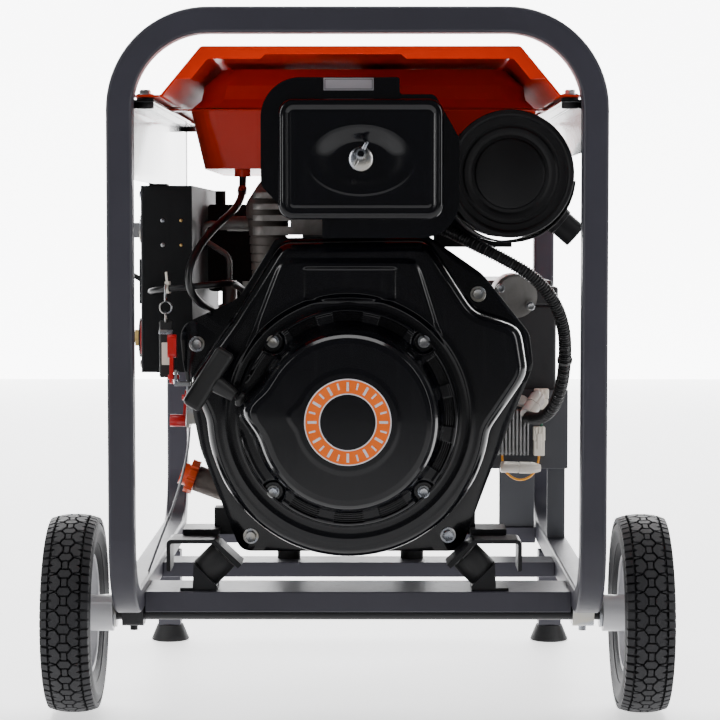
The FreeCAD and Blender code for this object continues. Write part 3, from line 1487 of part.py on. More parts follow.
# ---------------------------------------------------------------- build
def parts():
    """Node name and the separate pieces in it."""
    sides = (-1, 1)
    yield "front_hoop", [hoop()]
    yield "rear_hoop", [hoop().mirror(V(0, 0, 0), Y)]
    yield "cross_members", [cross_member(front_cross_depth, front_cross_width, front_cross_height),
                            cross_member(middle_cross_depth, middle_cross_width, middle_cross_height),
                            cross_member(rear_cross_depth, rear_cross_width, rear_cross_height)]
    yield "side_plates", [side_plate(-1, left_plate_height), side_plate(1, right_plate_height)]
    yield "support_legs", [support_leg(side) for side in sides]
    yield "rubber_feet", [rubber_foot(side) for side in sides]
    yield "axle", [axle()] + [axle_clamp(side) for side in sides] + axle_washers()
    for name, side in (("left", -1), ("right", 1)):
        yield name + "_tyre", [tyre(side)]
        yield name + "_rim", [rim(side)]
    yield "mount_brackets", ([engine_foot(side) for side in sides] + [mount_bracket(side) for side in sides]
                             + alternator_feet())
    yield "rubber_mounts", ([engine_rubber(side) for side in sides] + alternator_rubbers()
                            + [cover_bush(x, d) for x in (-mount_x, mount_x) for d in mount_places])
    yield "crankcase", [crankcase()]
    yield "cylinder", [cylinder()]
    yield "cylinder_head", [cylinder_head(), rocker_cover()]
    yield "crankshaft", [crankshaft()]
    yield "piston", [piston()]
    yield "bearings", main_bearings() + [rear_bearing()]
    yield "flywheel_fan", [flywheel()]
    yield "blower_housing", [blower_housing()]
    yield "fan_back_plate", [fan_back_plate()]
    yield "bolts", blower_bolts() + recoil_bolts() + cover_bolts()
    yield "recoil_cover", [recoil_cover()]
    yield "recoil_pulley", [recoil_pulley()]
    yield "recoil_handle", [recoil_handle(), starter_rope()]
    yield "filter_base", [filter_back_plate(), filter_canister(), intake_duct()]
    yield "filter_element", [filter_element()]
    yield "filter_cover", [filter_cover()]
    yield "wing_nut", [wing_nut()]
    yield "muffler", [muffler()]
    yield "exhaust_fittings", [exhaust_elbow(), tail_pipe(), heat_shield(), muffler_bracket()]
    yield "tank_cover", [tank_cover()]
    yield "tank_lower", [tank_lower()]
    yield "tank_upper", [tank_upper()]
    yield "fuel_cap", [fuel_cap()]
    yield "injection_gear", [injection_pump(), stop_solenoid(), injector(), pressure_pipe()]
    yield "control_brackets", control_brackets()
    yield "speed_lever", [speed_lever()]
    yield "stop_lever", [stop_lever()]
    yield "oil_neck", [oil_neck()]
    yield "oil_cap", [oil_cap()]
    yield "starter_motor", [starter_motor(), starter_solenoid()]
    yield "alternator_ends", [alternator_bell(), alternator_end()]
    yield "alternator_shell", [alternator_shell()]
    yield "stator", [stator()]
    yield "rotor", [rotor()]
    yield "control_box", [control_box(), terminal_box()] + box_hangers()
    yield "control_panel", [control_panel()]
    yield "panel_fittings", [meter(), meter_face(), key_switch(), breaker_body()] + sockets()
    yield "weld_terminals", weld_terminals() + terminal_blocks()
    yield "current_knob", [current_knob()]
    yield "ignition_key", [ignition_key()]
    yield "breaker_toggle", [breaker_toggle()]
    yield "battery_tray", [battery_tray()]
    yield "battery", [battery()]
    yield "voltage_regulator", [voltage_regulator()]
    yield "loom", connectors() + wires()
    yield "hoses", [cord("fuel hose", fuel_route, 8.0), cord("loom sleeve", sleeve_route, 7.0),
                    cord("conduit", conduit_route, 14.0), cord("stop wire", stop_wire_route, 3.0)]
    yield "key_tag", [key_tag()]


os.makedirs("parts", exist_ok=True)
for node, pieces in parts():
    for number, piece in enumerate(pieces):
        if not piece.isValid() or len(piece.Solids) != 1:
            print(f"look at {node}, piece {number}: {len(piece.Solids)} solids, valid {piece.isValid()}")
    shape = Part.makeCompound(pieces) if len(pieces) > 1 else pieces[0]
    shape.exportStep(f"parts/{node}.step")
    print(f"{node}: {len(shape.Solids)} solids, {shape.Volume / 1000:.0f} cm3")
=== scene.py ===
# %% [markdown]
# # An engine driven welder, dressed for a portrait
#
# The machine is a single-cylinder engine with a pull starter, a generator behind it and a welding
# control box on its side, all carried in a tube frame on two wheels. The measured model gives every
# part its place. This script gives the parts their paint, rubber, castings and cords, and replaces
# the plain pressings with pieces that have their beads, dimples and slots.

import json
import math

import bmesh
import bpy
import numpy as np
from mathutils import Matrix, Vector


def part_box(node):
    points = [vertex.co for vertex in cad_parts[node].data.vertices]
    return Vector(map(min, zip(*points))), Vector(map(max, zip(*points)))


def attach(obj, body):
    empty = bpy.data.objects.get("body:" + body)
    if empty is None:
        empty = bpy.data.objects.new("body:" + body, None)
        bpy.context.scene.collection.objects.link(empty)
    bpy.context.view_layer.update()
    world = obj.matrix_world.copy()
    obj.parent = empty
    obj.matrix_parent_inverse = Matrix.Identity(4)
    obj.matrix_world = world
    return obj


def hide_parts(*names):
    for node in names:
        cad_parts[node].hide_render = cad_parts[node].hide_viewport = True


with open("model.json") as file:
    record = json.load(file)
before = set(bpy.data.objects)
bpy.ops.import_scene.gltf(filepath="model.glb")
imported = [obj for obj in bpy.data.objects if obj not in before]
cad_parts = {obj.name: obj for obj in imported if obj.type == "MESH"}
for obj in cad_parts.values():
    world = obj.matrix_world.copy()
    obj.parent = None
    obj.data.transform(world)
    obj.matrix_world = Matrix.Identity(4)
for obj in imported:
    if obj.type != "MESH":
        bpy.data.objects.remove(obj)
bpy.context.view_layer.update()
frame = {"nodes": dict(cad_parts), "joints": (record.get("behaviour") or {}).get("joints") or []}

# %% [markdown]
# ## Where things are
#
# Each part is asked for its own place. A part made of several separate solids is taken apart into
# its islands, so that every bolt in a bag of bolts can be found and dressed on its own.

# %% Places
MM = 0.001


def joint_named(name):
    return next(joint for joint in frame["joints"] if joint["name"] == name)


def pivot(name):
    return Vector(joint_named(name)["pos_m"])


def islands(node):
    """The separate solids of a part, each as (points, faces), in order of their middles."""
    mesh = frame["nodes"][node].data
    points = np.array([v.co for v in mesh.vertices])
    keys = {}
    same = [keys.setdefault(tuple(p), len(keys)) for p in np.round(points, 6)]
    group = list(range(len(keys)))

    def top(i):
        while group[i] != i:
            group[i] = group[group[i]]
            i = group[i]
        return i

    for edge in mesh.edges:
        group[top(same[edge.vertices[0]])] = top(same[edge.vertices[1]])
    merged = np.zeros((len(keys), 3))
    merged[same] = points
    found = {}
    for face in mesh.polygons:
        corners = [same[i] for i in face.vertices]
        if len(set(corners)) == len(corners):
            found.setdefault(top(corners[0]), []).append(corners)
    result = []
    for faces in found.values():
        used = sorted({i for face in faces for i in face})
        number = {old: new for new, old in enumerate(used)}
        result.append((merged[used], [[number[i] for i in face] for face in faces]))
    return sorted(result, key=lambda part: tuple(np.round(part[0].mean(0), 3)))


crank = pivot("crank_spin")
print("crank axis at", tuple(crank))

# %% [markdown]
# ## Camera and light
#
# The portrait is taken from a little over two and a half metres, level with the top third of the
# machine and tipped down slightly, with a long lens so that the square frame stays square. A plain
# white room with broad soft lamps gives black sheet metal its long bright edges.

# %% Camera
camera = bpy.data.objects.new("portrait_camera", bpy.data.cameras.new("portrait_camera"))
bpy.context.scene.collection.objects.link(camera)
camera.location = (0.0117, -2.6276, 0.5055)
camera.rotation_euler = (math.radians(90) - 0.058, 0, 0.004)
camera.data.sensor_width = 36.0
camera.data.lens = 116.2
camera.data.clip_start = 0.05
bpy.context.scene.camera = camera
print("lens", round(camera.data.lens, 1), "mm")


# %% Lamps
def soft_lamp(name, place, target, size, power):
    """A broad rectangular lamp: sizes in metres, power in watts."""
    lamp = bpy.data.lights.new(name, "AREA")
    lamp.shape = "RECTANGLE"
    lamp.size, lamp.size_y = size
    lamp.energy = power
    thing = bpy.data.objects.new(name, lamp)
    bpy.context.scene.collection.objects.link(thing)
    thing.location = place
    thing.rotation_euler = (Vector(target) - Vector(place)).to_track_quat("-Z", "Y").to_euler()
    return thing


middle = (0, 0, 0.35)
soft_lamp("lamp_left", (-2.1, -1.7, 1.1), middle, (0.55, 2.2), 24)
soft_lamp("lamp_right", (2.1, -1.5, 1.0), middle, (0.55, 2.2), 21)
soft_lamp("lamp_above", (0, -0.5, 2.6), middle, (2.2, 1.0), 30)
soft_lamp("lamp_behind", (0, 2.4, 1.9), middle, (2.6, 1.2), 30)

# %% Room
room = bpy.data.worlds.new("white_room")
room.use_nodes = True
room.node_tree.nodes["Background"].inputs["Color"].default_value = (1, 1, 1, 1)
room.node_tree.nodes["Background"].inputs["Strength"].default_value = 0.11
bpy.context.scene.world = room

# %% [markdown]
# ## A small vocabulary for finishes
#
# A finish is mixed from numbers that vary over the surface. `Field` wraps one such number, so that
# the recipe of a paint can be written as plain arithmetic.

# %% Finish arithmetic
def join(tree, value, socket):
    """Puts a field or a plain value into a socket."""
    if isinstance(value, Field):
        tree.links.new(value.socket, socket)
    elif isinstance(value, tuple) and len(value) == 3 and len(socket.default_value) == 4:
        socket.default_value = (*value, 1)
    else:
        socket.default_value = value


class Field:
    """A number that varies over a surface."""

    def __init__(self, tree, socket):
        self.tree = tree
        self.socket = socket

    def maths(self, operation, first, second=0.0, clamp=False):
        node = self.tree.nodes.new("ShaderNodeMath")
        node.operation = operation
        node.use_clamp = clamp
        join(self.tree, first, node.inputs[0])
        join(self.tree, second, node.inputs[1])
        return Field(self.tree, node.outputs[0])

    def __add__(self, other):
        return self.maths("ADD", self, other)

    def __radd__(self, other):
        return self.maths("ADD", other, self)

    def __sub__(self, other):
        return self.maths("SUBTRACT", self, other)

    def __rsub__(self, other):
        return self.maths("SUBTRACT", other, self)

    def __mul__(self, other):
        return self.maths("MULTIPLY", self, other)

    def __rmul__(self, other):
        return self.maths("MULTIPLY", other, self)

    def __gt__(self, other):
        return self.maths("GREATER_THAN", self, other)

    def ramp(self, low, high):
        """0 below low, 1 above high, straight between."""
        return self.maths("MULTIPLY", self - low, 1.0 / (high - low), clamp=True)


class Finish:
    """One material being mixed."""

    def __init__(self, name, **constants):
        self.material = bpy.data.materials.new(name)
        self.material.use_nodes = True
        self.tree = self.material.node_tree
        self.shader = self.tree.nodes["Principled BSDF"]
        for key, value in constants.items():
            join(self.tree, value, self.shader.inputs[key.replace("_", " ")])

    def node(self, kind, output=0, **inputs):
        made = self.tree.nodes.new("ShaderNode" + kind)
        for key, value in inputs.items():
            join(self.tree, value, made.inputs[key.replace("_", " ")])
        return Field(self.tree, made.outputs[output])

    def place(self, stretch=(1, 1, 1)):
        """Position on the part in metres, stretched along an axis where a grain runs."""
        return self.node("Mapping", Vector=self.node("TexCoord", 3), Scale=stretch)

    def noise(self, scale, detail=3.0, stretch=(1, 1, 1), distortion=0.0):
        return self.node("TexNoise", Vector=self.place(stretch), Scale=scale, Detail=detail,
                         Distortion=distortion)

    def cells(self, scale):
        return self.node("TexVoronoi", Vector=self.place(), Scale=scale)

    def axis(self, letter, of="place"):
        source = self.node("TexCoord", 3) if of == "place" else self.node("NewGeometry", 1)
        return self.node("SeparateXYZ", "XYZ".index(letter), Vector=source)

    def mix(self, factor, first, second):
        made = self.tree.nodes.new("ShaderNodeMix")
        made.data_type = "RGBA"
        join(self.tree, factor, made.inputs["Factor"])
        join(self.tree, first, made.inputs["A"])
        join(self.tree, second, made.inputs["B"])
        return Field(self.tree, made.outputs["Result"])

    def give(self, **fields):
        for key, value in fields.items():
            join(self.tree, value, self.shader.inputs[key.replace("_", " ")])

    def relief(self, height, depth):
        """Small surface relief, depth in metres."""
        made = self.tree.nodes.new("ShaderNodeBump")
        made.inputs["Distance"].default_value = depth
        join(self.tree, height, made.inputs["Height"])
        self.tree.links.new(made.outputs[0], self.shader.inputs["Normal"])

    def dust(self):
        """Where dust settles: on upward faces, unevenly."""
        upward = self.axis("Z", "normal").ramp(0.35, 1.0)
        return upward * self.noise(9.0, 5.0).ramp(0.42, 0.75)


print("finish vocabulary ready")

# %% [markdown]
# ## Paints
#
# Frame tubes are powder coated: the powder melts into a satin skin with a faint orange peel. The
# pressings are dipped in gloss black enamel. The cover and tank are sprayed orange-red and
# lacquered, so they carry a clear coat. Dust dulls whatever faces up.


# %% Paint recipes
def tint(colour, factor):
    return tuple(min(1.0, channel * factor) for channel in colour)


def painted(name, colour, roughness, peel=0.00006, coat=0.0, dusty=0.25, speckle=0.0, gloss=0.5):
    """Sprayed or dipped paint: cloudy by a tenth, rubbed in streaks, with its peel in metres."""
    finish = Finish(name, Coat_Roughness=0.06, Specular_IOR_Level=gloss)
    cloud = finish.noise(7.0, 4.0)
    grain = finish.noise(900.0, 2.0)
    dust = finish.dust() * dusty
    shade = finish.mix(cloud.ramp(0.3, 0.7), tint(colour, 0.88), tint(colour, 1.1))
    if speckle:
        shade = finish.mix((grain > 0.62) * speckle, shade, tint(colour, 3.0))
    shade = finish.mix(dust, shade, (0.22, 0.21, 0.2))
    rub = finish.noise(160.0, 3.0, stretch=(1, 1, 0.12)).ramp(0.55, 0.75)
    finish.give(Base_Color=shade, Roughness=roughness + 0.07 * cloud + 0.06 * rub + 0.5 * dust,
                Coat_Weight=coat * (1.0 - dust))
    finish.relief(finish.noise(140.0, 2.0) + 0.35 * grain, peel)
    return finish.material


frame_coat = painted("frame_coat", (0.034, 0.033, 0.046), 0.40, peel=0.00010, dusty=0.1)
black_enamel = painted("black_enamel", (0.0016, 0.0018, 0.0034), 0.15, peel=0.000012, coat=0.35, dusty=0.03,
                       gloss=0.35)
black_satin = painted("black_satin", (0.0035, 0.0037, 0.0052), 0.36, peel=0.00004, dusty=0.05, gloss=0.35)
orange_lacquer = painted("orange_lacquer", (1.0, 0.030, 0.0), 0.30, peel=0.00002, coat=0.15, dusty=0.02,
                         gloss=0.3)
box_coat = painted("box_coat", (0.004, 0.0045, 0.0055), 0.6, peel=0.00008, dusty=0.06, speckle=0.15,
                   gloss=0.25)
panel_coat = painted("panel_coat", (0.04, 0.04, 0.045), 0.45, peel=0.00012, dusty=0.1, speckle=0.3)
rim_paint = painted("rim_paint", (0.62, 0.62, 0.64), 0.3, coat=0.3, dusty=0.08)
tray_paint = painted("tray_paint", (0.05, 0.052, 0.06), 0.4, dusty=0.12)
hot_black = painted("hot_black", (0.0035, 0.0035, 0.0045), 0.5, peel=0.00006, dusty=0.06, gloss=0.3)
print("paints mixed")

# %% [markdown]
# ## Metals
#
# Fasteners are zinc plated: bright, bluish in places and straw coloured in others. Turned parts keep
# the fine rings of the lathe tool. Castings come out of sand, so they are grainy and dull, with the
# grain standing up where the light rakes it.


# %% Metal recipes
def plated(name, pale, warm, roughness):
    """Bright plating in two tones, with fine handling scratches."""
    finish = Finish(name, Metallic=1.0)
    patch = finish.noise(55.0, 4.0, distortion=0.6)
    scratch = finish.noise(500.0, 2.0, stretch=(1, 0.08, 1))
    finish.give(Base_Color=finish.mix(patch.ramp(0.35, 0.7), pale, warm),
                Roughness=roughness + 0.16 * patch + 0.08 * scratch)
    finish.relief(scratch + 0.5 * finish.noise(1400.0), 0.00003)
    return finish.material


def cast(name, colour, dark, roughness, metallic=0.75, grain=0.00022):
    """Sand-cast metal, stained in patches, with the grain of the sand in metres."""
    finish = Finish(name)
    sand = finish.noise(420.0, 4.0)
    pit = finish.cells(260.0)
    stain = finish.noise(22.0, 5.0, distortion=1.2)
    dust = finish.dust() * 0.3
    shade = finish.mix(stain.ramp(0.35, 0.72), dark, colour)
    shade = finish.mix(dust, shade, (0.3, 0.28, 0.25))
    finish.give(Base_Color=shade, Roughness=roughness + 0.18 * sand + 0.2 * dust,
                Metallic=metallic * (1.0 - dust))
    finish.relief(sand + 0.4 * pit, grain)
    return finish.material


def turned(name, colour, roughness, axis_letter):
    """Turned metal with fine rings square to its axis."""
    finish = Finish(name, Metallic=1.0)
    along = {"X": (1, 0.02, 0.02), "Y": (0.02, 1, 0.02), "Z": (0.02, 0.02, 1)}[axis_letter]
    rings = finish.noise(2600.0, 2.0, stretch=along)
    film = finish.noise(30.0, 4.0)
    finish.give(Base_Color=finish.mix(film.ramp(0.4, 0.7), tint(colour, 0.8), colour),
                Roughness=roughness + 0.2 * film)
    finish.relief(rings, 0.00002)
    return finish.material


zinc = plated("zinc", (0.40, 0.43, 0.49), (0.50, 0.47, 0.40), 0.17)
brass = plated("brass", (0.75, 0.52, 0.20), (0.60, 0.40, 0.16), 0.24)
turned_steel = turned("turned_steel", (0.50, 0.50, 0.52), 0.26, "Y")
axle_steel = turned("axle_steel", (0.42, 0.42, 0.44), 0.32, "X")
cast_alloy = cast("cast_alloy", (0.40, 0.39, 0.375), (0.24, 0.23, 0.22), 0.46)
cast_iron = cast("cast_iron", (0.10, 0.10, 0.102), (0.055, 0.055, 0.057), 0.5, metallic=0.5)
neck_alloy = cast("neck_alloy", (0.23, 0.19, 0.165), (0.13, 0.11, 0.10), 0.42, metallic=0.6)
windings = cast("windings", (0.30, 0.10, 0.04), (0.12, 0.05, 0.03), 0.35, metallic=0.4, grain=0.0006)
fin_alloy = cast("fin_alloy", (0.50, 0.50, 0.50), (0.36, 0.36, 0.36), 0.34, metallic=0.9, grain=0.00008)
tower_grey = cast("tower_grey", (0.23, 0.20, 0.18), (0.15, 0.13, 0.12), 0.5, metallic=0.2, grain=0.00006)
print("metals mixed")

# %% [markdown]
# ## Rubber, plastic and cord
#
# Rubber is matt and holds dust. Moulded plastic has the fine spark-eroded grain of its mould. Wire
# insulation is smoother and a little waxy; the starter rope is a braid.


# %% Soft and moulded recipes
def moulded(name, colour, roughness, grain=0.00005, scale=1500.0, coat=0.0, dusty=0.1, clear=0.0):
    """Moulded rubber or plastic with the grain of its mould."""
    finish = Finish(name, Transmission_Weight=clear, Coat_Roughness=0.08)
    cloud = finish.noise(18.0, 4.0)
    dust = finish.dust() * dusty
    shade = finish.mix(cloud.ramp(0.3, 0.7), tint(colour, 0.86), tint(colour, 1.08))
    finish.give(Base_Color=finish.mix(dust, shade, (0.26, 0.25, 0.24)),
                Roughness=roughness + 0.1 * cloud + 0.35 * dust, Coat_Weight=coat * (1.0 - dust))
    finish.relief(finish.cells(scale) + 0.5 * finish.noise(220.0), grain)
    return finish.material


rubber = moulded("rubber", (0.011, 0.011, 0.012), 0.58, grain=0.00010, scale=700.0, dusty=0.2)
tread_rubber = moulded("tread_rubber", (0.017, 0.017, 0.020), 0.55, grain=0.00016, scale=520.0, dusty=0.16)
black_plastic = moulded("black_plastic", (0.009, 0.009, 0.0095), 0.40)
battery_case = moulded("battery_case", (0.014, 0.014, 0.016), 0.42, grain=0.00008, scale=900.0)
red_plastic = moulded("red_plastic", (0.58, 0.006, 0.008), 0.24, coat=0.4, dusty=0.02)
orange_plastic = moulded("orange_plastic", (0.80, 0.075, 0.008), 0.26, coat=0.4, dusty=0.02)
white_plastic = moulded("white_plastic", (0.78, 0.73, 0.64), 0.34, dusty=0.03)
clear_plastic = moulded("clear_plastic", (0.86, 0.82, 0.76), 0.2, clear=0.45, dusty=0.02)
hose_rubber = moulded("hose_rubber", (0.008, 0.008, 0.009), 0.26, grain=0.00003, dusty=0.05)
conduit_plastic = moulded("conduit_plastic", (0.007, 0.007, 0.008), 0.33, grain=0.00002, dusty=0.05)
red_wire = moulded("red_wire", (0.62, 0.008, 0.010), 0.26, coat=0.2, dusty=0.02)
blue_wire = moulded("blue_wire", (0.012, 0.035, 0.42), 0.26, coat=0.2, dusty=0.02)
yellow_wire = moulded("yellow_wire", (0.82, 0.33, 0.010), 0.26, coat=0.2, dusty=0.02)
green_wire = moulded("green_wire", (0.004, 0.16, 0.075), 0.26, coat=0.2, dusty=0.02)
label_orange = moulded("label_orange", (1.0, 0.16, 0.0), 0.36, grain=0.00001, dusty=0.0)
label_white = moulded("label_white", (0.80, 0.79, 0.82), 0.36, grain=0.00001, dusty=0.0)
label_grey = moulded("label_grey", (0.33, 0.33, 0.36), 0.4, grain=0.00001, dusty=0.0)
filter_paper = moulded("filter_paper", (0.62, 0.50, 0.30), 0.8, grain=0.0003, scale=300.0)
rope_braid = moulded("rope_braid", (0.02, 0.02, 0.022), 0.7, grain=0.0005, scale=600.0)
print("rubbers and plastics mixed")

# %% [markdown]
# ## Making surfaces
#
# Almost everything on this machine is either pressed from sheet, turned, or swept along a path, and
# all three are rows of points joined into a skin. `skin` does the joining; `pressing`, `lathe` and
# `sweep` lay out the rows. `dress` puts a finish on a piece, softens its edges and hangs it on the
# body that carries it.


# %% Skins
def dress(thing, finish, body, angle=32.0, edge=0.0, segments=2):
    if finish is not None:
        thing.data.materials.clear()
        thing.data.materials.append(finish)
    if thing.type == "MESH":
        for face in thing.data.polygons:
            face.use_smooth = True
        thing.data.set_sharp_from_angle(angle=math.radians(angle))
    if edge:
        soften(thing, edge, segments)
    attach(thing, body)
    return thing


def soften(thing, width, segments=2):
    bevel = thing.modifiers.new("soft_edge", "BEVEL")
    bevel.width = width
    bevel.segments = segments
    bevel.limit_method = "ANGLE"
    bevel.angle_limit = math.radians(38)
    bevel.harden_normals = True


def piece(name, points, faces):
    mesh = bpy.data.meshes.new(name)
    mesh.from_pydata([tuple(map(float, p)) for p in points], [], faces)
    mesh.validate()
    thing = bpy.data.objects.new(name, mesh)
    bpy.context.scene.collection.objects.link(thing)
    return thing


def skin_faces(rows, columns, closed=True, skip=None):
    faces = []
    for row in range(rows - 1):
        for column in range(columns if closed else columns - 1):
            if skip is not None and skip[row, column]:
                continue
            after = (column + 1) % columns
            faces.append([row * columns + column, row * columns + after,
                          (row + 1) * columns + after, (row + 1) * columns + column])
    return faces


def skin(name, rows, closed=True, skip=None, end_caps=(False, False)):
    """rows: array (rows, columns, 3)."""
    rows = np.asarray(rows, float)
    count, columns, _ = rows.shape
    faces = skin_faces(count, columns, closed, skip)
    if end_caps[0]:
        faces.append(list(range(columns))[::-1])
    if end_caps[1]:
        faces.append([(count - 1) * columns + i for i in range(columns)])
    return piece(name, rows.reshape(-1, 3), faces)


def facing(thing):
    """Turns all the faces outwards."""
    made = bmesh.new()
    made.from_mesh(thing.data)
    bmesh.ops.recalc_face_normals(made, faces=made.faces)
    made.to_mesh(thing.data)
    made.free()
    return thing


def lathe(name, profile, centre, axis, finish, body, steps=96, caps=(True, True), angle=32.0, edge=0.0):
    """profile: (radius, distance along the axis) pairs."""
    axis = Vector(axis).normalized()
    side = axis.orthogonal().normalized()
    other = axis.cross(side)
    turn = np.linspace(0, 2 * math.pi, steps, endpoint=False)
    round_way = np.outer(np.cos(turn), side) + np.outer(np.sin(turn), other)
    rows = [np.array(centre) + np.array(axis) * along + round_way * radius for radius, along in profile]
    thing = facing(skin(name, rows, end_caps=caps))
    return dress(thing, finish, body, angle, edge)


def path_of(curve):
    """Points along a curve's own smooth line."""
    bare = curve.copy()
    bare.data = curve.data.copy()
    bare.data.bevel_depth = 0
    bpy.context.scene.collection.objects.link(bare)
    bpy.context.view_layer.update()
    mesh = bpy.data.meshes.new_from_object(bare.evaluated_get(bpy.context.evaluated_depsgraph_get()))
    points = np.array([v.co for v in mesh.vertices])
    bpy.data.objects.remove(bare)
    return points


def even(path, step):
    """The same line with points an even step apart."""
    run = np.concatenate([[0], np.cumsum(np.linalg.norm(np.diff(path, axis=0), axis=1))])
    marks = np.linspace(0, run[-1], max(3, int(round(run[-1] / step)) + 1))
    return np.stack([np.interp(marks, run, path[:, k]) for k in range(3)], 1), marks


def sweep(name, path, radius, finish, body, steps=20, squash=1.0):
    """A round section along a path; radius is a number or one number for each point."""
    radius = np.broadcast_to(radius, len(path))
    heading = np.gradient(path, axis=0)
    heading /= np.linalg.norm(heading, axis=1)[:, None]
    side = np.array(Vector(heading[0]).orthogonal().normalized())
    turn = np.linspace(0, 2 * math.pi, steps, endpoint=False)
    rows = []
    for point, way, size in zip(path, heading, radius):
        side = side - way * np.dot(side, way)
        side /= np.linalg.norm(side)
        other = np.cross(way, side)
        rows.append(point + size * (np.outer(np.cos(turn), side) + squash * np.outer(np.sin(turn), other)))
    return dress(facing(skin(name, rows, end_caps=(True, True))), finish, body, 50)


def cord_line(name, points, diameter, finish, body, resolution=12):
    """A smooth cord along its route, in metres."""
    data = bpy.data.curves.new(name, "CURVE")
    data.dimensions = "3D"
    line = data.splines.new("NURBS")
    line.points.add(len(points) - 1)
    for point, place in zip(line.points, points):
        point.co = (*place, 1)
    line.order_u = 3
    line.use_endpoint_u = True
    line.resolution_u = resolution
    data.bevel_depth = diameter / 2
    data.bevel_resolution = 6
    data.use_fill_caps = True
    thing = bpy.data.objects.new(name, data)
    bpy.context.scene.collection.objects.link(thing)
    data.materials.append(finish)
    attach(thing, body)
    return thing


print("surface tools ready")

# %% [markdown]
# ## Pressings
#
# A pressing is described as the press sees it: an outline round a centre, a wall that comes forward
# from it, and a face whose height varies. Working in rings round the centre gives clean bent
# corners, and a face fine enough for beads and dimples. Slots are rings' faces left out.


# %% Pressing tools
TURNS = 720
angles = np.linspace(0, 2 * math.pi, TURNS, endpoint=False)
cosines, sines = np.cos(angles), np.sin(angles)


def reach(points, faces, centre, near, far):
    """Outline of a part about a centre: how far its faces between two depths reach, all the way round."""
    farthest = np.zeros(TURNS)
    flat = points[:, [0, 2]] - np.array([centre[0], centre[2]])
    for face in faces:
        for a, b in zip(face, face[1:] + face[:1]):
            if not (near <= points[a, 1] <= far and near <= points[b, 1] <= far):
                continue
            p, q = flat[a], flat[b] - flat[a]
            cross_q = cosines * q[1] - sines * q[0]
            with np.errstate(divide="ignore", invalid="ignore"):
                along = (p[0] * q[1] - p[1] * q[0]) / cross_q
                part = (p[0] * sines - p[1] * cosines) / cross_q
            hit = (np.abs(cross_q) > 1e-12) & (part >= -1e-9) & (part <= 1 + 1e-9) & (along > 0)
            farthest[hit] = np.maximum(farthest[hit], along[hit])
    return farthest


def ease(outline, width):
    """Rounds an outline's corners by averaging along it."""
    half = max(1, int(width))
    window = np.hanning(2 * half + 3)[1:-1]
    window /= window.sum()
    long = np.concatenate([outline[-half:], outline, outline[:half]])
    return np.convolve(long, window, "valid")


def drawn_in(outline, amount):
    """The outline moved inwards by an amount measured square to it."""
    x, z = outline * cosines, outline * sines
    along = np.stack([np.roll(x, -2) - np.roll(x, 2), np.roll(z, -2) - np.roll(z, 2)])
    along /= np.linalg.norm(along, axis=0)
    x, z = x - along[1] * amount, z + along[0] * amount
    turn = np.unwrap(np.arctan2(z, x))
    order = np.argsort(turn)
    return np.interp(angles, turn[order], np.hypot(x, z)[order], period=2 * math.pi)


def pressing(name, centre, wall, face_edge, face_rings, depth_at, finish, body, inner=None, slots=None,
             thickness=0.0016, angle=38.0):
    """wall: (outline, depth) rows from the back edge forward; then a face from face_edge to inner."""
    rows = []
    for outline, depth in wall:
        rows.append(np.stack([outline * cosines, np.broadcast_to(depth, TURNS), outline * sines], 1))
    inside = np.full(TURNS, 0.0004) if inner is None else inner
    skip = np.zeros((len(wall) + len(face_rings) - 1, TURNS), bool)
    for number, part in enumerate(face_rings):
        ring = face_edge + (inside - face_edge) * part
        x, z = ring * cosines, ring * sines
        rows.append(np.stack([x, depth_at(x, z), z], 1))
        if slots is not None and number:
            skip[len(wall) + number - 1] = slots(ring, x, z)
    rows = np.array(rows) + np.array([centre[0], 0, centre[2]])
    thing = skin(name, rows, skip=skip, end_caps=(False, inner is None))
    facing(thing)
    sheet = thing.modifiers.new("sheet", "SOLIDIFY")
    sheet.thickness = thickness
    sheet.offset = -1
    return dress(thing, finish, body, angle)


def bump_in(distance, width):
    """Smooth step: 1 well inside a shape, 0 outside, over a width at its edge."""
    part = np.clip(0.5 - distance / width, 0, 1)
    return part * part * (3 - 2 * part)


def rounded_box(x, z, half_x, half_z, radius):
    """Distance to a rectangle with round corners, negative inside."""
    dx, dz = np.abs(x) - half_x + radius, np.abs(z) - half_z + radius
    return np.hypot(np.maximum(dx, 0), np.maximum(dz, 0)) + np.minimum(np.maximum(dx, dz), 0) - radius


def polygon(x, z, corners, radius):
    """Distance to a convex polygon with softened corners, corners anticlockwise, negative inside."""
    sides = []
    for (ax, az), (bx, bz) in zip(corners, corners[1:] + corners[:1]):
        length = math.hypot(bx - ax, bz - az)
        sides.append(((x - ax) * (bz - az) - (z - az) * (bx - ax)) / length)
    sides = np.array(sides) / radius
    top = sides.max(0)
    return radius * (top + np.log(np.exp(sides - top).sum(0)))


print("pressing tools ready")

# %% [markdown]
# ## Parts that keep their measured shape
#
# Tubes, plates, castings and turned parts already have their real shape. They get their finish, and
# most get a fine rounded edge, because no folded, cut or cast edge is sharp and the light catches it
# there. Parts made of several solids are split where their solids need finishes of their own.


# %% Keep and split
def kept(node, finish, edge):
    """A measured part in its finish, with fine edges."""
    thing = frame["nodes"][node]
    thing.data.materials.clear()
    thing.data.materials.append(finish)
    if edge:
        weld = thing.modifiers.new("one_skin", "WELD")
        weld.merge_threshold = 0.00001
        soften(thing, edge)


def split(node, finishes, edge):
    """A part made of several solids becomes one piece for each, with its own finish."""
    for number, (points, faces) in enumerate(islands(node)):
        finish = finishes[number % len(finishes)]
        dress(piece(f"{node}_{number + 1}", points, faces), finish, "frame", 30.0, edge)
    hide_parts(node)


def centre_of(part):
    points = part[0]
    return (points.min(0) + points.max(0)) / 2


def size_of(part):
    return part[0].max(0) - part[0].min(0)


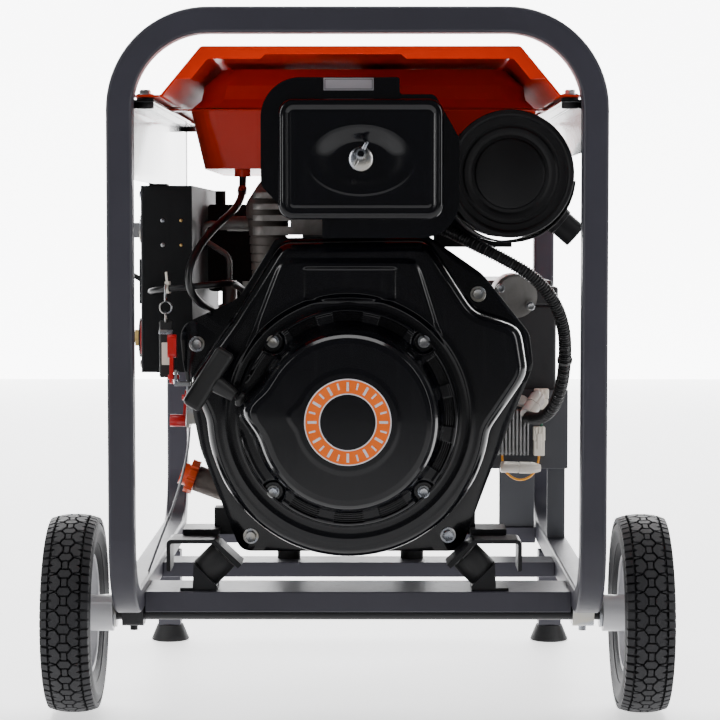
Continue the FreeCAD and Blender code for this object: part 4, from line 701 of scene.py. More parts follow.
for node, finish, edge in (
        ("front_hoop", frame_coat, 0.0), ("rear_hoop", frame_coat, 0.0),
        ("cross_members", frame_coat, 0.0012),
        ("side_plates", black_enamel, 0.0006), ("support_legs", frame_coat, 0.0012),
        ("rubber_feet", rubber, 0.0008),
        ("fan_back_plate", black_enamel, 0.0006), ("mount_brackets", black_satin, 0.0012),
        ("rubber_mounts", rubber, 0.001), ("crankcase", cast_iron, 0.0015), ("cylinder", cast_iron, 0.0005),
        ("cylinder_head", cast_alloy, 0.0012), ("crankshaft", turned_steel, 0.0008),
        ("piston", cast_alloy, 0.0005),
        ("bearings", turned_steel, 0.0005), ("flywheel_fan", cast_alloy, 0.0005),
        ("recoil_pulley", black_plastic, 0.0008), ("filter_base", black_enamel, 0.0008),
        ("filter_element", filter_paper, 0.0005), ("tank_cover", orange_lacquer, 0.0012),
        ("tank_lower", orange_lacquer, 0.0015), ("tank_upper", orange_lacquer, 0.0015),
        ("fuel_cap", black_plastic, 0.0008), ("injection_gear", cast_alloy, 0.0008),
        ("control_brackets", zinc, 0.0004), ("oil_neck", neck_alloy, 0.0015),
        ("oil_cap", orange_plastic, 0.0012),
        ("starter_motor", cast_alloy, 0.0012), ("alternator_ends", cast_alloy, 0.0012),
        ("alternator_shell", black_satin, 0.0008), ("stator", windings, 0.0006),
        ("rotor", windings, 0.0006),
        ("control_panel", panel_coat, 0.0005), ("current_knob", black_plastic, 0.0006),
        ("ignition_key", turned_steel, 0.0005), ("breaker_toggle", black_plastic, 0.0004),
        ("battery_tray", tray_paint, 0.0008), ("voltage_regulator", fin_alloy, 0.0004),
        ("left_rim", rim_paint, 0.0006), ("right_rim", rim_paint, 0.0006),
        ("speed_lever", red_plastic, 0.0006), ("stop_lever", red_plastic, 0.0012)):
    kept(node, finish, edge)
split("axle", [axle_steel, zinc, zinc, black_satin, black_satin, zinc, zinc], edge=0.0006)
split("control_box", [box_coat], edge=0.0008)
split("exhaust_fittings", [hot_black], edge=0.0006)
print("measured parts finished")

# %% [markdown]
# ## Tyres
#
# Solid rubber tyres moulded with the pattern of a small pneumatic: a chain of hexagons down the
# middle, joined by narrow waists, with notched blocks beside them and square lugs on the shoulders.
# The blocks stand on a slightly smaller carcass, with the side walls' rings turned into it.

# %% Tyre pattern
PITCHES = 34
middle_hexagon = [(-7.0, 0.0), (-4.4, 0.21), (4.4, 0.21), (7.0, 0.0), (4.4, -0.21), (-4.4, -0.21)]
waist = [(-2.7, 0.29), (-2.7, 0.71), (2.7, 0.71), (2.7, 0.29)]
beside = [(8.4, 0.06), (5.5, 0.29), (4.0, 0.36), (4.0, 0.64), (5.5, 0.71), (8.4, 0.94),
          (14.4, 0.88), (15.6, 0.62), (11.4, 0.50), (15.6, 0.38), (14.4, 0.12)]
wedge = [(10.0, 0.0), (14.2, 0.06), (15.6, 0.05), (15.6, -0.05), (14.2, -0.06)]
lugs = [[(17.2, 0.07), (17.2, 0.44), (24.6, 0.45), (24.6, 0.06)],
        [(17.2, 0.56), (17.2, 0.93), (24.6, 0.94), (24.6, 0.55)]]


def tyre(side):
    node = side + "_tyre"
    low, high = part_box(node)
    centre = (low + high) / 2
    radius = (high.z - low.z) / 2
    half = (high.x - low.x) / 2
    scale = half / 0.026
    bead = 0.062
    deep = 0.0042

    def crown(across):
        return radius - 0.0045 * (abs(across) / 26) ** 2.4

    carcass = [(bead, -0.016), (bead + 0.006, -0.0205), (bead + 0.010, -0.0215), (bead + 0.0108, -0.0225),
               (bead + 0.0125, -0.0228), (radius - 0.020, -0.0252), (radius - 0.0185, -0.0259),
               (radius - 0.0165, -0.0259), (radius - 0.012, -0.0252), (radius - 0.0095, -0.0238),
               (crown(20) - deep, -0.020), (radius - deep, -0.006)]
    carcass += [(r, -x) for r, x in reversed(carcass)]
    profile = [(r, x * scale) for r, x in carcass]
    body = lathe(node + "_carcass", profile, centre, (1, 0, 0), tread_rubber, side + "_wheel", steps=136,
                 caps=(False, False), angle=28)
    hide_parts(node)
    shapes = [(middle_hexagon, 1), (waist, 1), (beside, 1), (beside, -1), (wedge, 1), (wedge, -1)]
    shapes += [(lug, way) for lug in lugs for way in (1, -1)]
    points, faces = [], []
    for pitch in range(PITCHES):
        for shape, way in shapes:
            count = len(shape)
            middle_v = sum(v for v, u in shape) / count
            middle_u = sum(u for v, u in shape) / count
            start = len(points)
            for sink, grow in ((deep + 0.0012, 1.10), (0.0006, 1.0), (0.0, 0.93)):
                for v, u in shape:
                    v = (middle_v + (v - middle_v) * grow) * way
                    u = middle_u + (u - middle_u) * grow
                    turn = (pitch + u) / PITCHES * 2 * math.pi
                    r = crown(v) - sink
                    points.append((centre.x + v * MM * scale, centre.y + r * math.cos(turn),
                                   centre.z + r * math.sin(turn)))
            for level in range(2):
                for i in range(count):
                    j = (i + 1) % count
                    a, b = start + level * count, start + (level + 1) * count
                    faces.append([a + i, a + j, b + j, b + i])
            faces.append([start + 2 * count + i for i in range(count)])
    blocks = facing(piece(node + "_tread", points, faces))
    return dress(blocks, tread_rubber, side + "_wheel", 25)


for side in ("left", "right"):
    tyre(side)
print("tyres: two carcasses,", PITCHES, "pitches of tread each")

# %% [markdown]
# ## Wheel centres
#
# A valve stem through the rim, and a pressed cap over the end of the axle.

# %% Wheel centres
for side, way in (("left", -1), ("right", 1)):
    low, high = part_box(side + "_rim")
    hub = (low + high) / 2
    outer = low.x if way < 0 else high.x
    lathe(side + "_axle_nut", [(0.0052, 0.0), (0.0105, 0.0), (0.0110, 0.0012), (0.0105, 0.0052),
                               (0.0085, 0.0068), (0.0040, 0.0076), (0.0004, 0.0078)],
          (outer, hub.y, hub.z), (way, 0, 0), zinc, side + "_wheel")
    lathe(side + "_valve", [(0.0032, 0.0), (0.0036, 0.006), (0.0026, 0.010), (0.0024, 0.018),
                            (0.0020, 0.019)],
          (hub.x + way * 0.004, hub.y, hub.z + 0.045), (way, 0, 0.35), rubber, side + "_wheel", steps=24)
print("axle nuts and valves on")

# %% [markdown]
# ## Blower housing
#
# One deep pressing covers the fan. It has a flat flange that follows the engine's back plate, a wall
# that leans in a little so that the press can let go of it, a generous shoulder, a raised
# wedge-shaped panel above the starter, and a sunk plate for a label that is left blank.

# %% Blower housing
points, faces = islands("blower_housing")[0]
low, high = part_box("blower_housing")
front, rear = low.y, high.y
centre = (crank.x, 0, crank.z)
body_line = ease(reach(points, faces, centre, front - 0.0002, front + 0.0002), 9)
flange_line = ease(reach(points, faces, centre, rear - 0.0025, rear + 0.0002), 4)
flange_line = np.maximum(flange_line, body_line + 0.0028)
flange_top = rear - 0.002
housing_wall = [(flange_line, rear), (flange_line, flange_top + 0.0004), (flange_line - 0.0006, flange_top),
                (body_line + 0.0022, flange_top), (body_line + 0.0008, flange_top - 0.0012),
                (body_line, flange_top - 0.0040), (drawn_in(body_line, 0.0010), front + 0.0140)]
for part in np.linspace(0, 1, 9):
    turn = part * math.pi / 2
    housing_wall.append((drawn_in(body_line, 0.0010 + 0.0110 * (1 - math.cos(turn))),
                         front + 0.0130 * (1 - math.sin(turn))))
panel_corners = [(-0.112, 0.047), (-0.05, -0.01), (0.07, -0.01), (0.103, 0.054), (0.070, 0.160),
                 (-0.069, 0.160)]
starter_ring_r = 0.1245
plate_middle = (0.0015, 0.1366)
plate_half = (0.0475, 0.0168)


def housing_face(x, z):
    """Depth of the housing's front: the raised panel, the ring round the starter, the sunk plate."""
    from_axis = np.hypot(x, z)
    from_plate = rounded_box(x - plate_middle[0], z - plate_middle[1], *plate_half, 0.003)
    raised = bump_in(polygon(x, z, panel_corners, 0.004), 0.007)
    ring = bump_in(from_axis - starter_ring_r, 0.006)
    sunk = bump_in(from_plate, 0.0034)
    lip = np.exp(-((from_axis - starter_ring_r - 0.0020) / 0.0030) ** 2)
    border = np.exp(-(from_plate / 0.0018) ** 2)
    return front - 0.0028 * raised * (1 - ring) - 0.0011 * lip - 0.0007 * border * raised + 0.0011 * sunk


housing = pressing("blower_housing_sheet", centre, housing_wall, drawn_in(body_line, 0.0120),
                   np.linspace(0, 1, 170), housing_face, black_enamel, "frame", inner=np.full(TURNS, 0.097))
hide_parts("blower_housing")
print("blower housing pressed,", len(housing.data.vertices), "points")

# %% [markdown]
# ## Recoil starter
#
# The starter's cover is a round pressing with a drum that stands forward for the rope pulley, a
# lobe where the rope comes out, and a channel round it with groups of long slots that let the fan
# draw air. Four round pockets hold its bolts.

# %% Recoil cover
low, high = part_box("recoil_cover")
cover_front = low.y
seat_depth = high.y - 0.002
section = ((0.0, 0.0), (0.050, 0.0), (0.053, 0.0007), (0.0790, 0.0010), (0.0840, 0.0022), (0.0875, 0.0052),
           (0.0900, 0.0100), (0.0915, 0.0170), (0.0935, 0.0480), (0.0955, 0.0560), (0.0985, 0.0600),
           (0.1070, 0.0600), (0.1095, 0.0590), (0.1115, 0.0610))
section_r, section_y = np.array(section).T
bolt_circle_r = 0.1093
bolt_parts = islands("bolts")


def on_recoil_circle(part):
    """Whether a bolt stands on the recoil cover's bolt circle, in front of the housing."""
    middle = centre_of(part)
    from_axis = math.hypot(middle[0] - crank.x, middle[2] - crank.z)
    return abs(from_axis - bolt_circle_r) < 0.003 and middle[1] < front + 0.02


recoil_seats = [part for part in bolt_parts if on_recoil_circle(part)]
print("recoil bolts found:", len(recoil_seats))


def recoil_face(x, z):
    """Depth of the recoil cover: its section, wider at the rope's lobe, with a pocket at each bolt."""
    from_axis = np.hypot(x, z)
    turn = np.degrees(np.arctan2(z, x)) % 360
    lobe = 1 + 0.16 * np.exp(-((turn - 174) / 11) ** 2)
    depth = cover_front + np.interp(from_axis / lobe, section_r, section_y)
    for part in recoil_seats:
        away = np.hypot(x - (centre_of(part)[0] - crank.x), z - (centre_of(part)[2] - crank.z))
        pocket = bump_in(away - 0.0118, 0.0040)
        depth = depth * (1 - pocket) + (seat_depth - 0.0005) * pocket
    return depth


slot_groups = (90, 116, 64, 27, 3, 337, 296, 270, 244)
slot_half_turn = 8.5
slot_rings = [(0.0985 + 0.0022 * k, 0.0985 + 0.0022 * k + 0.0012) for k in range(5)]


def recoil_slots(ring, x, z):
    """Which faces of a ring fall in a slot."""
    turn = np.degrees(np.arctan2(z, x)) % 360
    in_group = np.zeros(TURNS, bool)
    for group in slot_groups:
        in_group |= np.abs((turn - group + 180) % 360 - 180) < slot_half_turn
    at = ring[0]
    in_slot = any(a - 1e-6 <= at <= b - 1e-6 for a, b in slot_rings)
    return in_group & in_slot


cover_edge = 0.1115
slot_edges = [r for pair in slot_rings for r in pair]
stations = np.array(sorted({cover_edge, 0.1103, *slot_edges, *np.arange(0.0975, 0.0780, -0.0004),
                            *np.linspace(0.0775, 0.0004, 60)}, reverse=True))
cover_wall = [(np.full(TURNS, cover_edge + grow), depth) for grow, depth in
              ((0.0052, high.y - 0.0004), (0.0052, seat_depth), (0.0030, seat_depth - 0.0006),
               (0.0020, seat_depth - 0.0030), (0.0016, cover_front + 0.0650), (0.0008, cover_front + 0.0620))]
recoil = pressing("recoil_cover_sheet", centre, cover_wall, np.full(TURNS, cover_edge),
                  1 - (stations - 0.0004) / (cover_edge - 0.0004), recoil_face, black_enamel, "frame",
                  slots=recoil_slots, thickness=0.0014)
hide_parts("recoil_cover")
print("recoil cover pressed with", len(slot_groups) * len(slot_rings), "slots")

# %% [markdown]
# ## Label ring
#
# A ring of orange vinyl with thin pale borders lies on the starter's drum. It is printed with plain
# graduation marks only.

# %% Label ring
for name, inner, outer, finish, rise in (("label_border", 0.0278, 0.0436, label_white, 0.00014),
                                         ("label_ring", 0.0290, 0.0424, label_orange, 0.00022)):
    lathe(name, [(inner, 0.0004), (inner, -rise), (outer, -rise), (outer, 0.0004)],
          (crank.x, cover_front, crank.z), (0, 1, 0), finish, "frame", steps=160, caps=(False, False))
mark_count = 24
points, faces = [], []
for number in range(mark_count):
    turn = number / mark_count * 2 * math.pi
    inner, half = (0.0335, 0.0009) if number % 2 else (0.0312, 0.0013)
    for r, side in ((inner, -half), (0.0402, -half), (0.0402, half), (inner, half)):
        points.append((crank.x + r * math.cos(turn) - side * math.sin(turn), cover_front - 0.0003,
                       crank.z + r * math.sin(turn) + side * math.cos(turn)))
    faces.append([4 * number, 4 * number + 1, 4 * number + 2, 4 * number + 3])
marks = piece("label_marks", points, faces)
marks.modifiers.new("ink", "SOLIDIFY").thickness = 0.00008
dress(marks, label_white, "frame")
print("label ring on")

# %% [markdown]
# ## Air cleaner
#
# The cover is a shallow pressing with a bead round its edge, a flat panel, and an oval bowl in the
# middle that brings it down to the stud. A cupped washer fills the bowl's floor and a wing nut
# holds it all on.

# %% Air cleaner cover
low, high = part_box("filter_cover")
filter_centre = (low + high) / 2
half_x, half_z = (high.x - low.x) / 2, (high.z - low.z) / 2


def rectangle_line(grow, radius):
    """Outline of a round-cornered rectangle about its centre."""
    tight = np.full(TURNS, 0.0)
    wide = np.full(TURNS, 0.3)
    for _ in range(40):
        guess = (tight + wide) / 2
        inside = rounded_box(guess * cosines, guess * sines, half_x + grow, half_z + grow, radius) < 0
        tight = np.where(inside, guess, tight)
        wide = np.where(inside, wide, guess)
    return tight


def filter_face(x, z):
    """Depth of the air cleaner's cover: the bead, the groove inside it and the oval bowl."""
    edge = rounded_box(x, z, half_x, half_z, 0.016)
    bead = np.exp(-((edge + 0.0062) / 0.0022) ** 2)
    groove = np.exp(-((edge + 0.0112) / 0.0016) ** 2)
    bowl = np.hypot(x / 0.0505, z / 0.0325)
    bowl = np.clip((1.0 - np.maximum(bowl, 0.52)) / 0.48, 0, 1)
    bowl = bowl * bowl * (3 - 2 * bowl)
    lip = np.exp(-((np.hypot(x / 0.0525, z / 0.0345) - 1.0) / 0.05) ** 2)
    return low.y + 0.0012 - 0.0012 * bead + 0.0008 * groove + 0.0064 * bowl - 0.0004 * lip


filter_wall = [(rectangle_line(0.0, 0.015), high.y - 0.0002), (rectangle_line(0.0, 0.015), low.y + 0.0100)]
for part in np.linspace(0, 1, 7):
    turn = part * math.pi / 2
    filter_wall.append((rectangle_line(-0.0042 * (1 - math.cos(turn)), 0.015),
                        low.y + 0.0012 + 0.0046 * (1 - math.sin(turn))))
cover = pressing("filter_cover_sheet", filter_centre, filter_wall, rectangle_line(-0.0044, 0.0145),
                 np.linspace(0.0, 1, 130), filter_face, black_enamel, "frame", thickness=0.0012)
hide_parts("filter_cover")
lathe("cup_washer", [(0.0031, 0.0064), (0.0118, 0.0064), (0.0124, 0.0050), (0.0118, 0.0020),
                     (0.0098, 0.0006), (0.0031, 0.0002)],
      (filter_centre.x, low.y, filter_centre.z), (0, 1, 0), zinc, "frame", steps=64)
lathe("filter_stud", [(0.0030, 0.0), (0.0030, 0.0052), (0.0024, 0.0060)],
      (filter_centre.x, low.y + 0.0005, filter_centre.z), (0, -1, 0), zinc, "frame", steps=32)

# %% Wing nut
low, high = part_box("wing_nut")
nut_centre = ((low.x + high.x) / 2, high.y, (low.z + high.z) / 2)
nut = lathe("wing_nut_hub", [(0.0032, 0.0), (0.0074, 0.0), (0.0076, 0.0012), (0.0060, 0.0032),
                             (0.0052, 0.0056), (0.0034, 0.0060), (0.0032, 0.0045)],
            nut_centre, (0, -1, 0), zinc, "filter_nut", steps=40, caps=(False, False))
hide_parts("wing_nut")
for number, turn in enumerate((62, 242)):
    way = Vector((math.cos(math.radians(turn)), 0, math.sin(math.radians(turn))))
    across = Vector((-way.z, 0, way.x))
    rows = []
    for out, wide, thick, forward in ((0.0048, 0.0030, 0.0026, 0.0028), (0.0070, 0.0028, 0.0021, 0.0034),
                                      (0.0095, 0.0024, 0.0019, 0.0040), (0.0125, 0.0016, 0.0017, 0.0046),
                                      (0.0136, 0.0006, 0.0008, 0.0048)):
        place = Vector(nut_centre) + way * out + Vector((0, -forward, 0))
        turns = np.linspace(0, 2 * math.pi, 16, endpoint=False)
        rows.append(np.array(place) + np.outer(np.cos(turns) * thick, across)
                    + np.outer(np.sin(turns) * wide * 0.45, (0, 1, 0)))
    dress(facing(skin(f"wing_{number + 1}", rows, end_caps=(True, True))), zinc, "filter_nut", 60)
print("air cleaner dressed")

# %% [markdown]
# ## Blocks
#
# Moulded housings, the battery and the handle's bar are blocks whose edges are all rounded.


# %% Rounded block
def solid_box(name, centre, size, finish, body, edge, axes=None, segments=3):
    """A block with rounded edges; axes are three directions, or the frame's own."""
    axes = [Vector(a) for a in (axes or ((1, 0, 0), (0, 1, 0), (0, 0, 1)))]
    corners = []
    for a in (-0.5, 0.5):
        for b in (-0.5, 0.5):
            for c in (-0.5, 0.5):
                corners.append(Vector(centre) + axes[0] * a * size[0] + axes[1] * b * size[1]
                               + axes[2] * c * size[2])
    thing = facing(piece(name, corners, [[0, 1, 3, 2], [4, 6, 7, 5], [0, 4, 5, 1], [2, 3, 7, 6],
                                         [0, 2, 6, 4], [1, 5, 7, 3]]))
    return dress(thing, finish, body, 30, edge, segments)


print("block tool ready")

# %% [markdown]
# ## Silencer
#
# A drum with two end discs rolled on at a seam. Each disc has two rings pressed in it to stop it
# drumming, and a weld seam runs along the shell.

# %% Silencer
low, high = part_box("muffler")
drum = (low + high) / 2
drum_r = (high.z - low.z) / 2
end = [(0.0004, 0.0040), (0.0330, 0.0040), (0.0345, 0.0046), (0.0360, 0.0066), (0.0390, 0.0070),
       (0.0410, 0.0058), (0.0425, 0.0052), (0.0460, 0.0052), (0.0478, 0.0064), (0.0495, 0.0064),
       (0.0510, 0.0048), (0.0565, 0.0044), (0.0578, 0.0030), (0.0586, 0.0008), (0.0600, 0.0),
       (drum_r - 0.0008, 0.0002), (drum_r, 0.0014), (drum_r, 0.0072), (drum_r - 0.0012, 0.0084)]
length = high.y - low.y
shell = end + [(drum_r - 0.0012, length * 0.5 - 0.003), (drum_r - 0.0006, length * 0.5),
               (drum_r - 0.0012, length * 0.5 + 0.003)] + [(r, length - y) for r, y in reversed(end)]
silencer = lathe("silencer_drum", shell, (drum.x, low.y, drum.z), (0, 1, 0), hot_black, "frame", steps=128,
                 caps=(True, True), angle=24)
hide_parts("muffler")
print("silencer turned, radius", round(drum_r, 4))

# %% [markdown]
# ## Fasteners
#
# Each bolt in the model is found and drawn with its round washer, chamfered hexagon head and the
# shallow dish that forging leaves in the top of it.


# %% Hexagon fasteners
def hexagon_head(name, seat, way, across, height, washer_r):
    """A zinc head on its washer: width across flats, height above the washer, the washer's radius."""
    way = Vector(way).normalized()
    washer_top = 0.0014
    dish = 0.0005
    side = way.orthogonal().normalized()
    other = way.cross(side)
    steps = 48
    turn = np.linspace(0, 2 * math.pi, steps, endpoint=False)
    round_way = np.outer(np.cos(turn), side) + np.outer(np.sin(turn), other)
    flat = (across / 2) / np.cos((turn + math.pi / 6) % (math.pi / 3) - math.pi / 6)
    full = np.full(steps, 1.0)
    chamfer = np.minimum(flat, across * 0.515)
    rows = []
    for radius, rise in ((washer_r * full, 0.0), (washer_r * full, 0.0011),
                         ((washer_r - 0.0004) * full, washer_top), (flat * 1.02, washer_top), (flat, 0.0016),
                         (flat, washer_top + height * 0.72), (chamfer, washer_top + height * 0.84),
                         (across * 0.47 * full, washer_top + height),
                         (across * 0.30 * full, washer_top + height - dish)):
        rows.append(np.array(seat) + np.array(way) * rise + round_way * radius[:, None])
    return dress(facing(skin(name, rows, end_caps=(True, True))), zinc, "frame", 28)


for number, part in enumerate(bolt_parts):
    place, size = centre_of(part), size_of(part)
    name = f"bolt_{number + 1}"
    recoil_bolt = any(part is seat for seat in recoil_seats)
    if size[2] > size[1]:
        hexagon_head(name, (place[0], place[1], part[0][:, 2].max() - 0.0056), (0, 0, 1),
                     0.0100, 0.0040, 0.0085)
    elif recoil_bolt:
        hexagon_head(name, (place[0], seat_depth - 0.0005, place[2]), (0, -1, 0), 0.0088, 0.0046, 0.0064)
    else:
        hexagon_head(name, (place[0], flange_top, place[2]), (0, -1, 0), 0.0108, 0.0046, 0.0083)
        hexagon_head(name + "_nut", (place[0], part[0][:, 1].max() - 0.0060, place[2]), (0, 1, 0),
                     0.013, 0.0046, 0.0080)
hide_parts("bolts")
print(len(bolt_parts), "bolts dressed")

# %% [markdown]
# ## Starter handle and rope
#
# The handle is moulded in one piece: a cross bar for four fingers and a tapered neck that takes the
# knot. The rope is three strands laid together.

# %% Starter handle
pull = Vector(joint_named("rope_pull")["axis"]).normalized()
grip_side = Vector((-pull.z, 0, pull.x))
handle_points = islands("recoil_handle")[0][0]
along_pull = handle_points @ np.array(pull)
bar_far = along_pull.max()
bar_points = handle_points[along_pull > bar_far - 0.0185]
across_points = bar_points @ np.array(grip_side)
bar_side = (across_points.max() + across_points.min()) / 2
bar_depth = (bar_points[:, 1].max() + bar_points[:, 1].min()) / 2
bar_centre = pull * (bar_far - 0.0098) + grip_side * bar_side + Vector((0, bar_depth, 0))
handle = solid_box("starter_handle_bar", bar_centre, (0.0205, 0.0180, 0.0680), black_plastic, "starter_handle",
                   0.0052, (pull, (0, 1, 0), grip_side), segments=4)
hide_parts("recoil_handle")
neck_start = bar_centre - pull * 0.0085
lathe("starter_handle_neck", [(0.0092, 0.0), (0.0086, 0.006), (0.0074, 0.014), (0.0066, 0.021),
                              (0.0062, 0.0225), (0.0034, 0.0232)],
      neck_start, -pull, black_plastic, "starter_handle", steps=48)
rope_line = grip_side * bar_side + Vector((0, bar_depth, 0))
rope_start = neck_start - pull * 0.0225
rope_end = pull * along_pull.min() + rope_line
lay_length = 0.011
rope_turns = (rope_start - rope_end).length / lay_length
for strand in range(3):
    turn = np.linspace(0, rope_turns * 2 * math.pi, 160) + strand * 2 * math.pi / 3
    along = np.linspace(0, 1, 160)[:, None]
    line = (1 - along) * np.array(rope_start) + along * np.array(rope_end)
    line = line + 0.0013 * (np.outer(np.cos(turn), grip_side) + np.outer(np.sin(turn), (0, 1, 0)))
    sweep(f"rope_strand_{strand + 1}", line, 0.00155, rope_braid, "starter_handle", steps=10)
eye_from_axis = 0.0985
lathe("rope_eye", [(0.0042, 0.0), (0.0066, 0.0006), (0.0078, 0.0030), (0.0074, 0.0060), (0.0046, 0.0074),
                   (0.0036, 0.0060), (0.0034, 0.0020)],
      pull * (pull.dot(Vector((crank.x, 0, crank.z))) + eye_from_axis) + rope_line,
      pull, black_plastic, "frame", steps=48, caps=(False, False))
print("starter handle at", tuple(round(v, 3) for v in bar_centre))

# %% [markdown]
# ## Hoses, conduit and wires
#
# Everything here is held at both ends. The fuel hose drops from the tank's outlet and curls round
# to the pump; a sleeve of wires comes out of the control box; a ribbed conduit carries the charging
# wires round the engine's right side; a thin stop wire runs down to the rail.

# %% Routes
fuel_route = [
    (-0.1260, -0.0925, 0.5580), (-0.1260, -0.0925, 0.5470), (-0.1270, -0.1025, 0.5360),
    (-0.1300, -0.1215, 0.5270), (-0.1360, -0.1455, 0.5180), (-0.1460, -0.1725, 0.5080),
    (-0.1580, -0.1995, 0.4940), (-0.1690, -0.2225, 0.4760), (-0.1750, -0.2355, 0.4560),
    (-0.1730, -0.2345, 0.4380), (-0.1660, -0.2215, 0.4270), (-0.1610, -0.2035, 0.4220),
    (-0.1580, -0.1855, 0.4190), (-0.1530, -0.1695, 0.4140), (-0.1460, -0.1555, 0.4095),
    (-0.1430, -0.1475, 0.4080), (-0.1430, -0.1396, 0.4080)]
sleeve_route = [
    (-0.2180, -0.1777, 0.4360), (-0.2180, -0.1885, 0.4360), (-0.2150, -0.1995, 0.4370),
    (-0.2070, -0.2085, 0.4385), (-0.1940, -0.2140, 0.4398), (-0.1770, -0.2165, 0.4413),
    (-0.1600, -0.2150, 0.4430), (-0.1460, -0.2085, 0.4440), (-0.1365, -0.1955, 0.4445),
    (-0.1310, -0.1795, 0.4440), (-0.1280, -0.1625, 0.4410), (-0.1250, -0.1475, 0.4380),
    (-0.1215, -0.1365, 0.4350)]
conduit_route = [
    (0.0809, -0.1615, 0.5030), (0.0920, -0.1621, 0.5010), (0.1060, -0.1705, 0.4940),
    (0.1210, -0.1785, 0.4860), (0.1390, -0.1855, 0.4770), (0.1580, -0.1885, 0.4670),
    (0.1770, -0.1875, 0.4560), (0.1950, -0.1825, 0.4410), (0.2100, -0.1725, 0.4200),
    (0.2190, -0.1575, 0.3950), (0.2220, -0.1385, 0.3690), (0.2220, -0.1185, 0.3450),
    (0.2200, -0.0965, 0.3240), (0.2160, -0.0725, 0.3070), (0.2100, -0.0475, 0.2950),
    (0.2040, -0.0215, 0.2885), (0.1980, 0.0035, 0.2860), (0.1940, 0.0245, 0.2860)]
stop_wire_route = [
    (-0.1795, -0.1615, 0.2918), (-0.1800, -0.1635, 0.2760), (-0.1830, -0.1675, 0.2570),
    (-0.1880, -0.1705, 0.2350), (-0.1950, -0.1715, 0.2120), (-0.2040, -0.1705, 0.1880),
    (-0.2140, -0.1665, 0.1630), (-0.2240, -0.1605, 0.1359)]
red_route = [
    (0.1960, 0.0254, 0.2890), (0.1980, 0.0325, 0.2910), (0.2030, 0.0415, 0.2980),
    (0.2080, 0.0505, 0.3040), (0.2100, 0.0593, 0.3060)]
blue_route = [
    (0.1920, 0.0255, 0.2900), (0.1910, 0.0335, 0.2960), (0.1940, 0.0425, 0.3040),
    (0.2010, 0.0515, 0.3090), (0.2065, 0.0587, 0.3110)]
yellow_route = [
    (0.1660, 0.0605, 0.2398), (0.1660, 0.0595, 0.2290), (0.1720, 0.0575, 0.2160),
    (0.1860, 0.0565, 0.2090), (0.2000, 0.0585, 0.2140), (0.2080, 0.0625, 0.2260),
    (0.2090, 0.0645, 0.2378)]
green_route = [
    (0.2130, 0.0645, 0.2918), (0.2150, 0.0635, 0.2850), (0.2140, 0.0635, 0.2790),
    (0.2110, 0.0645, 0.2722)]
black_route = [
    (0.1910, 0.0254, 0.2820), (0.1900, 0.0325, 0.2800), (0.1890, 0.0405, 0.2760),
    (0.1890, 0.0473, 0.2740)]

# %% Cords
fuel_hose_d = 0.008
sleeve_d = 0.007
lead_d = 0.0026
conduit_core_d = 0.0115
fuel_hose = cord_line("fuel_hose", fuel_route, fuel_hose_d, hose_rubber, "frame")
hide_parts("hoses")
sleeve = cord_line("loom_sleeve", sleeve_route, sleeve_d, hose_rubber, "frame")
cord_line("stop_wire", stop_wire_route, lead_d, axle_steel, "frame")
for name, route, finish in (
        ("red_lead", red_route, red_wire), ("blue_lead", blue_route, blue_wire),
        ("yellow_lead", yellow_route, yellow_wire), ("green_lead", green_route, green_wire),
        ("black_lead", black_route, hose_rubber)):
    cord_line(name, route, lead_d, finish, "frame")
core = cord_line("conduit_core", conduit_route, conduit_core_d, conduit_plastic, "frame")

# %% Ribs of the conduit
rib_pitch = 0.0030
rib_middle_r, rib_rise = 0.0062, 0.0008
line, marks = even(path_of(core), 0.00065)
ribs = rib_middle_r + rib_rise * np.clip(1.6 * np.sin(marks / rib_pitch * 2 * math.pi), -1, 1)
sweep("conduit_ribs", line, ribs, conduit_plastic, "frame", steps=28)
print("conduit with", int(marks[-1] / rib_pitch), "ribs")


# %% Clips and ties
def tie_round(name, curve, part, radius, finish, tail, width=0.0036, body="frame"):
    """A plastic tie pulled tight round a cord, with its head and a cut tail."""
    line = path_of(curve)
    place = int(part * (len(line) - 1))
    way = Vector(line[min(place + 1, len(line) - 1)] - line[max(place - 1, 0)]).normalized()
    lathe(name, [(radius, -width / 2), (radius + 0.0011, -width / 2), (radius + 0.0013, 0.0),
                 (radius + 0.0011, width / 2), (radius, width / 2)],
          line[place], way, finish, body, steps=40, caps=(False, False))
    side = way.cross(Vector((0, 0, 1))).normalized()
    up = side.cross(way)
    solid_box(name + "_head", Vector(line[place]) + up * (radius + 0.0024), (0.0050, width + 0.0014, 0.0034),
              finish, body, 0.0006, (side, way, up))
    solid_box(name + "_tail", Vector(line[place]) + up * (radius + 0.0020 + tail / 2) + side * 0.0016,
              (0.0009, width * 0.7, tail), finish, body, 0.0003, (side, way, up))


tie_round("sleeve_tie", sleeve, 0.30, 0.0036, white_plastic, tail=0.012)
tie_round("conduit_tie", core, 0.62, 0.0070, black_plastic, tail=0.006)
for name, part in (("fuel_clip_top", 0.06), ("fuel_clip_end", 0.965)):
    line = path_of(fuel_hose)
    place = int(part * (len(line) - 1))
    way = Vector(line[min(place + 1, len(line) - 1)] - line[place - 1]).normalized()
    lathe(name, [(0.0041, -0.0035), (0.0050, -0.0035), (0.0052, -0.0012), (0.0049, 0.0), (0.0052, 0.0012),
                 (0.0050, 0.0035), (0.0041, 0.0035)],
          line[place], way, zinc, "frame", steps=40, caps=(False, False))

# %% [markdown]
# ## Plugs and fuse holder
#
# Milky nylon plug housings with their two halves, latch and wire seals, and a clear fuse holder.

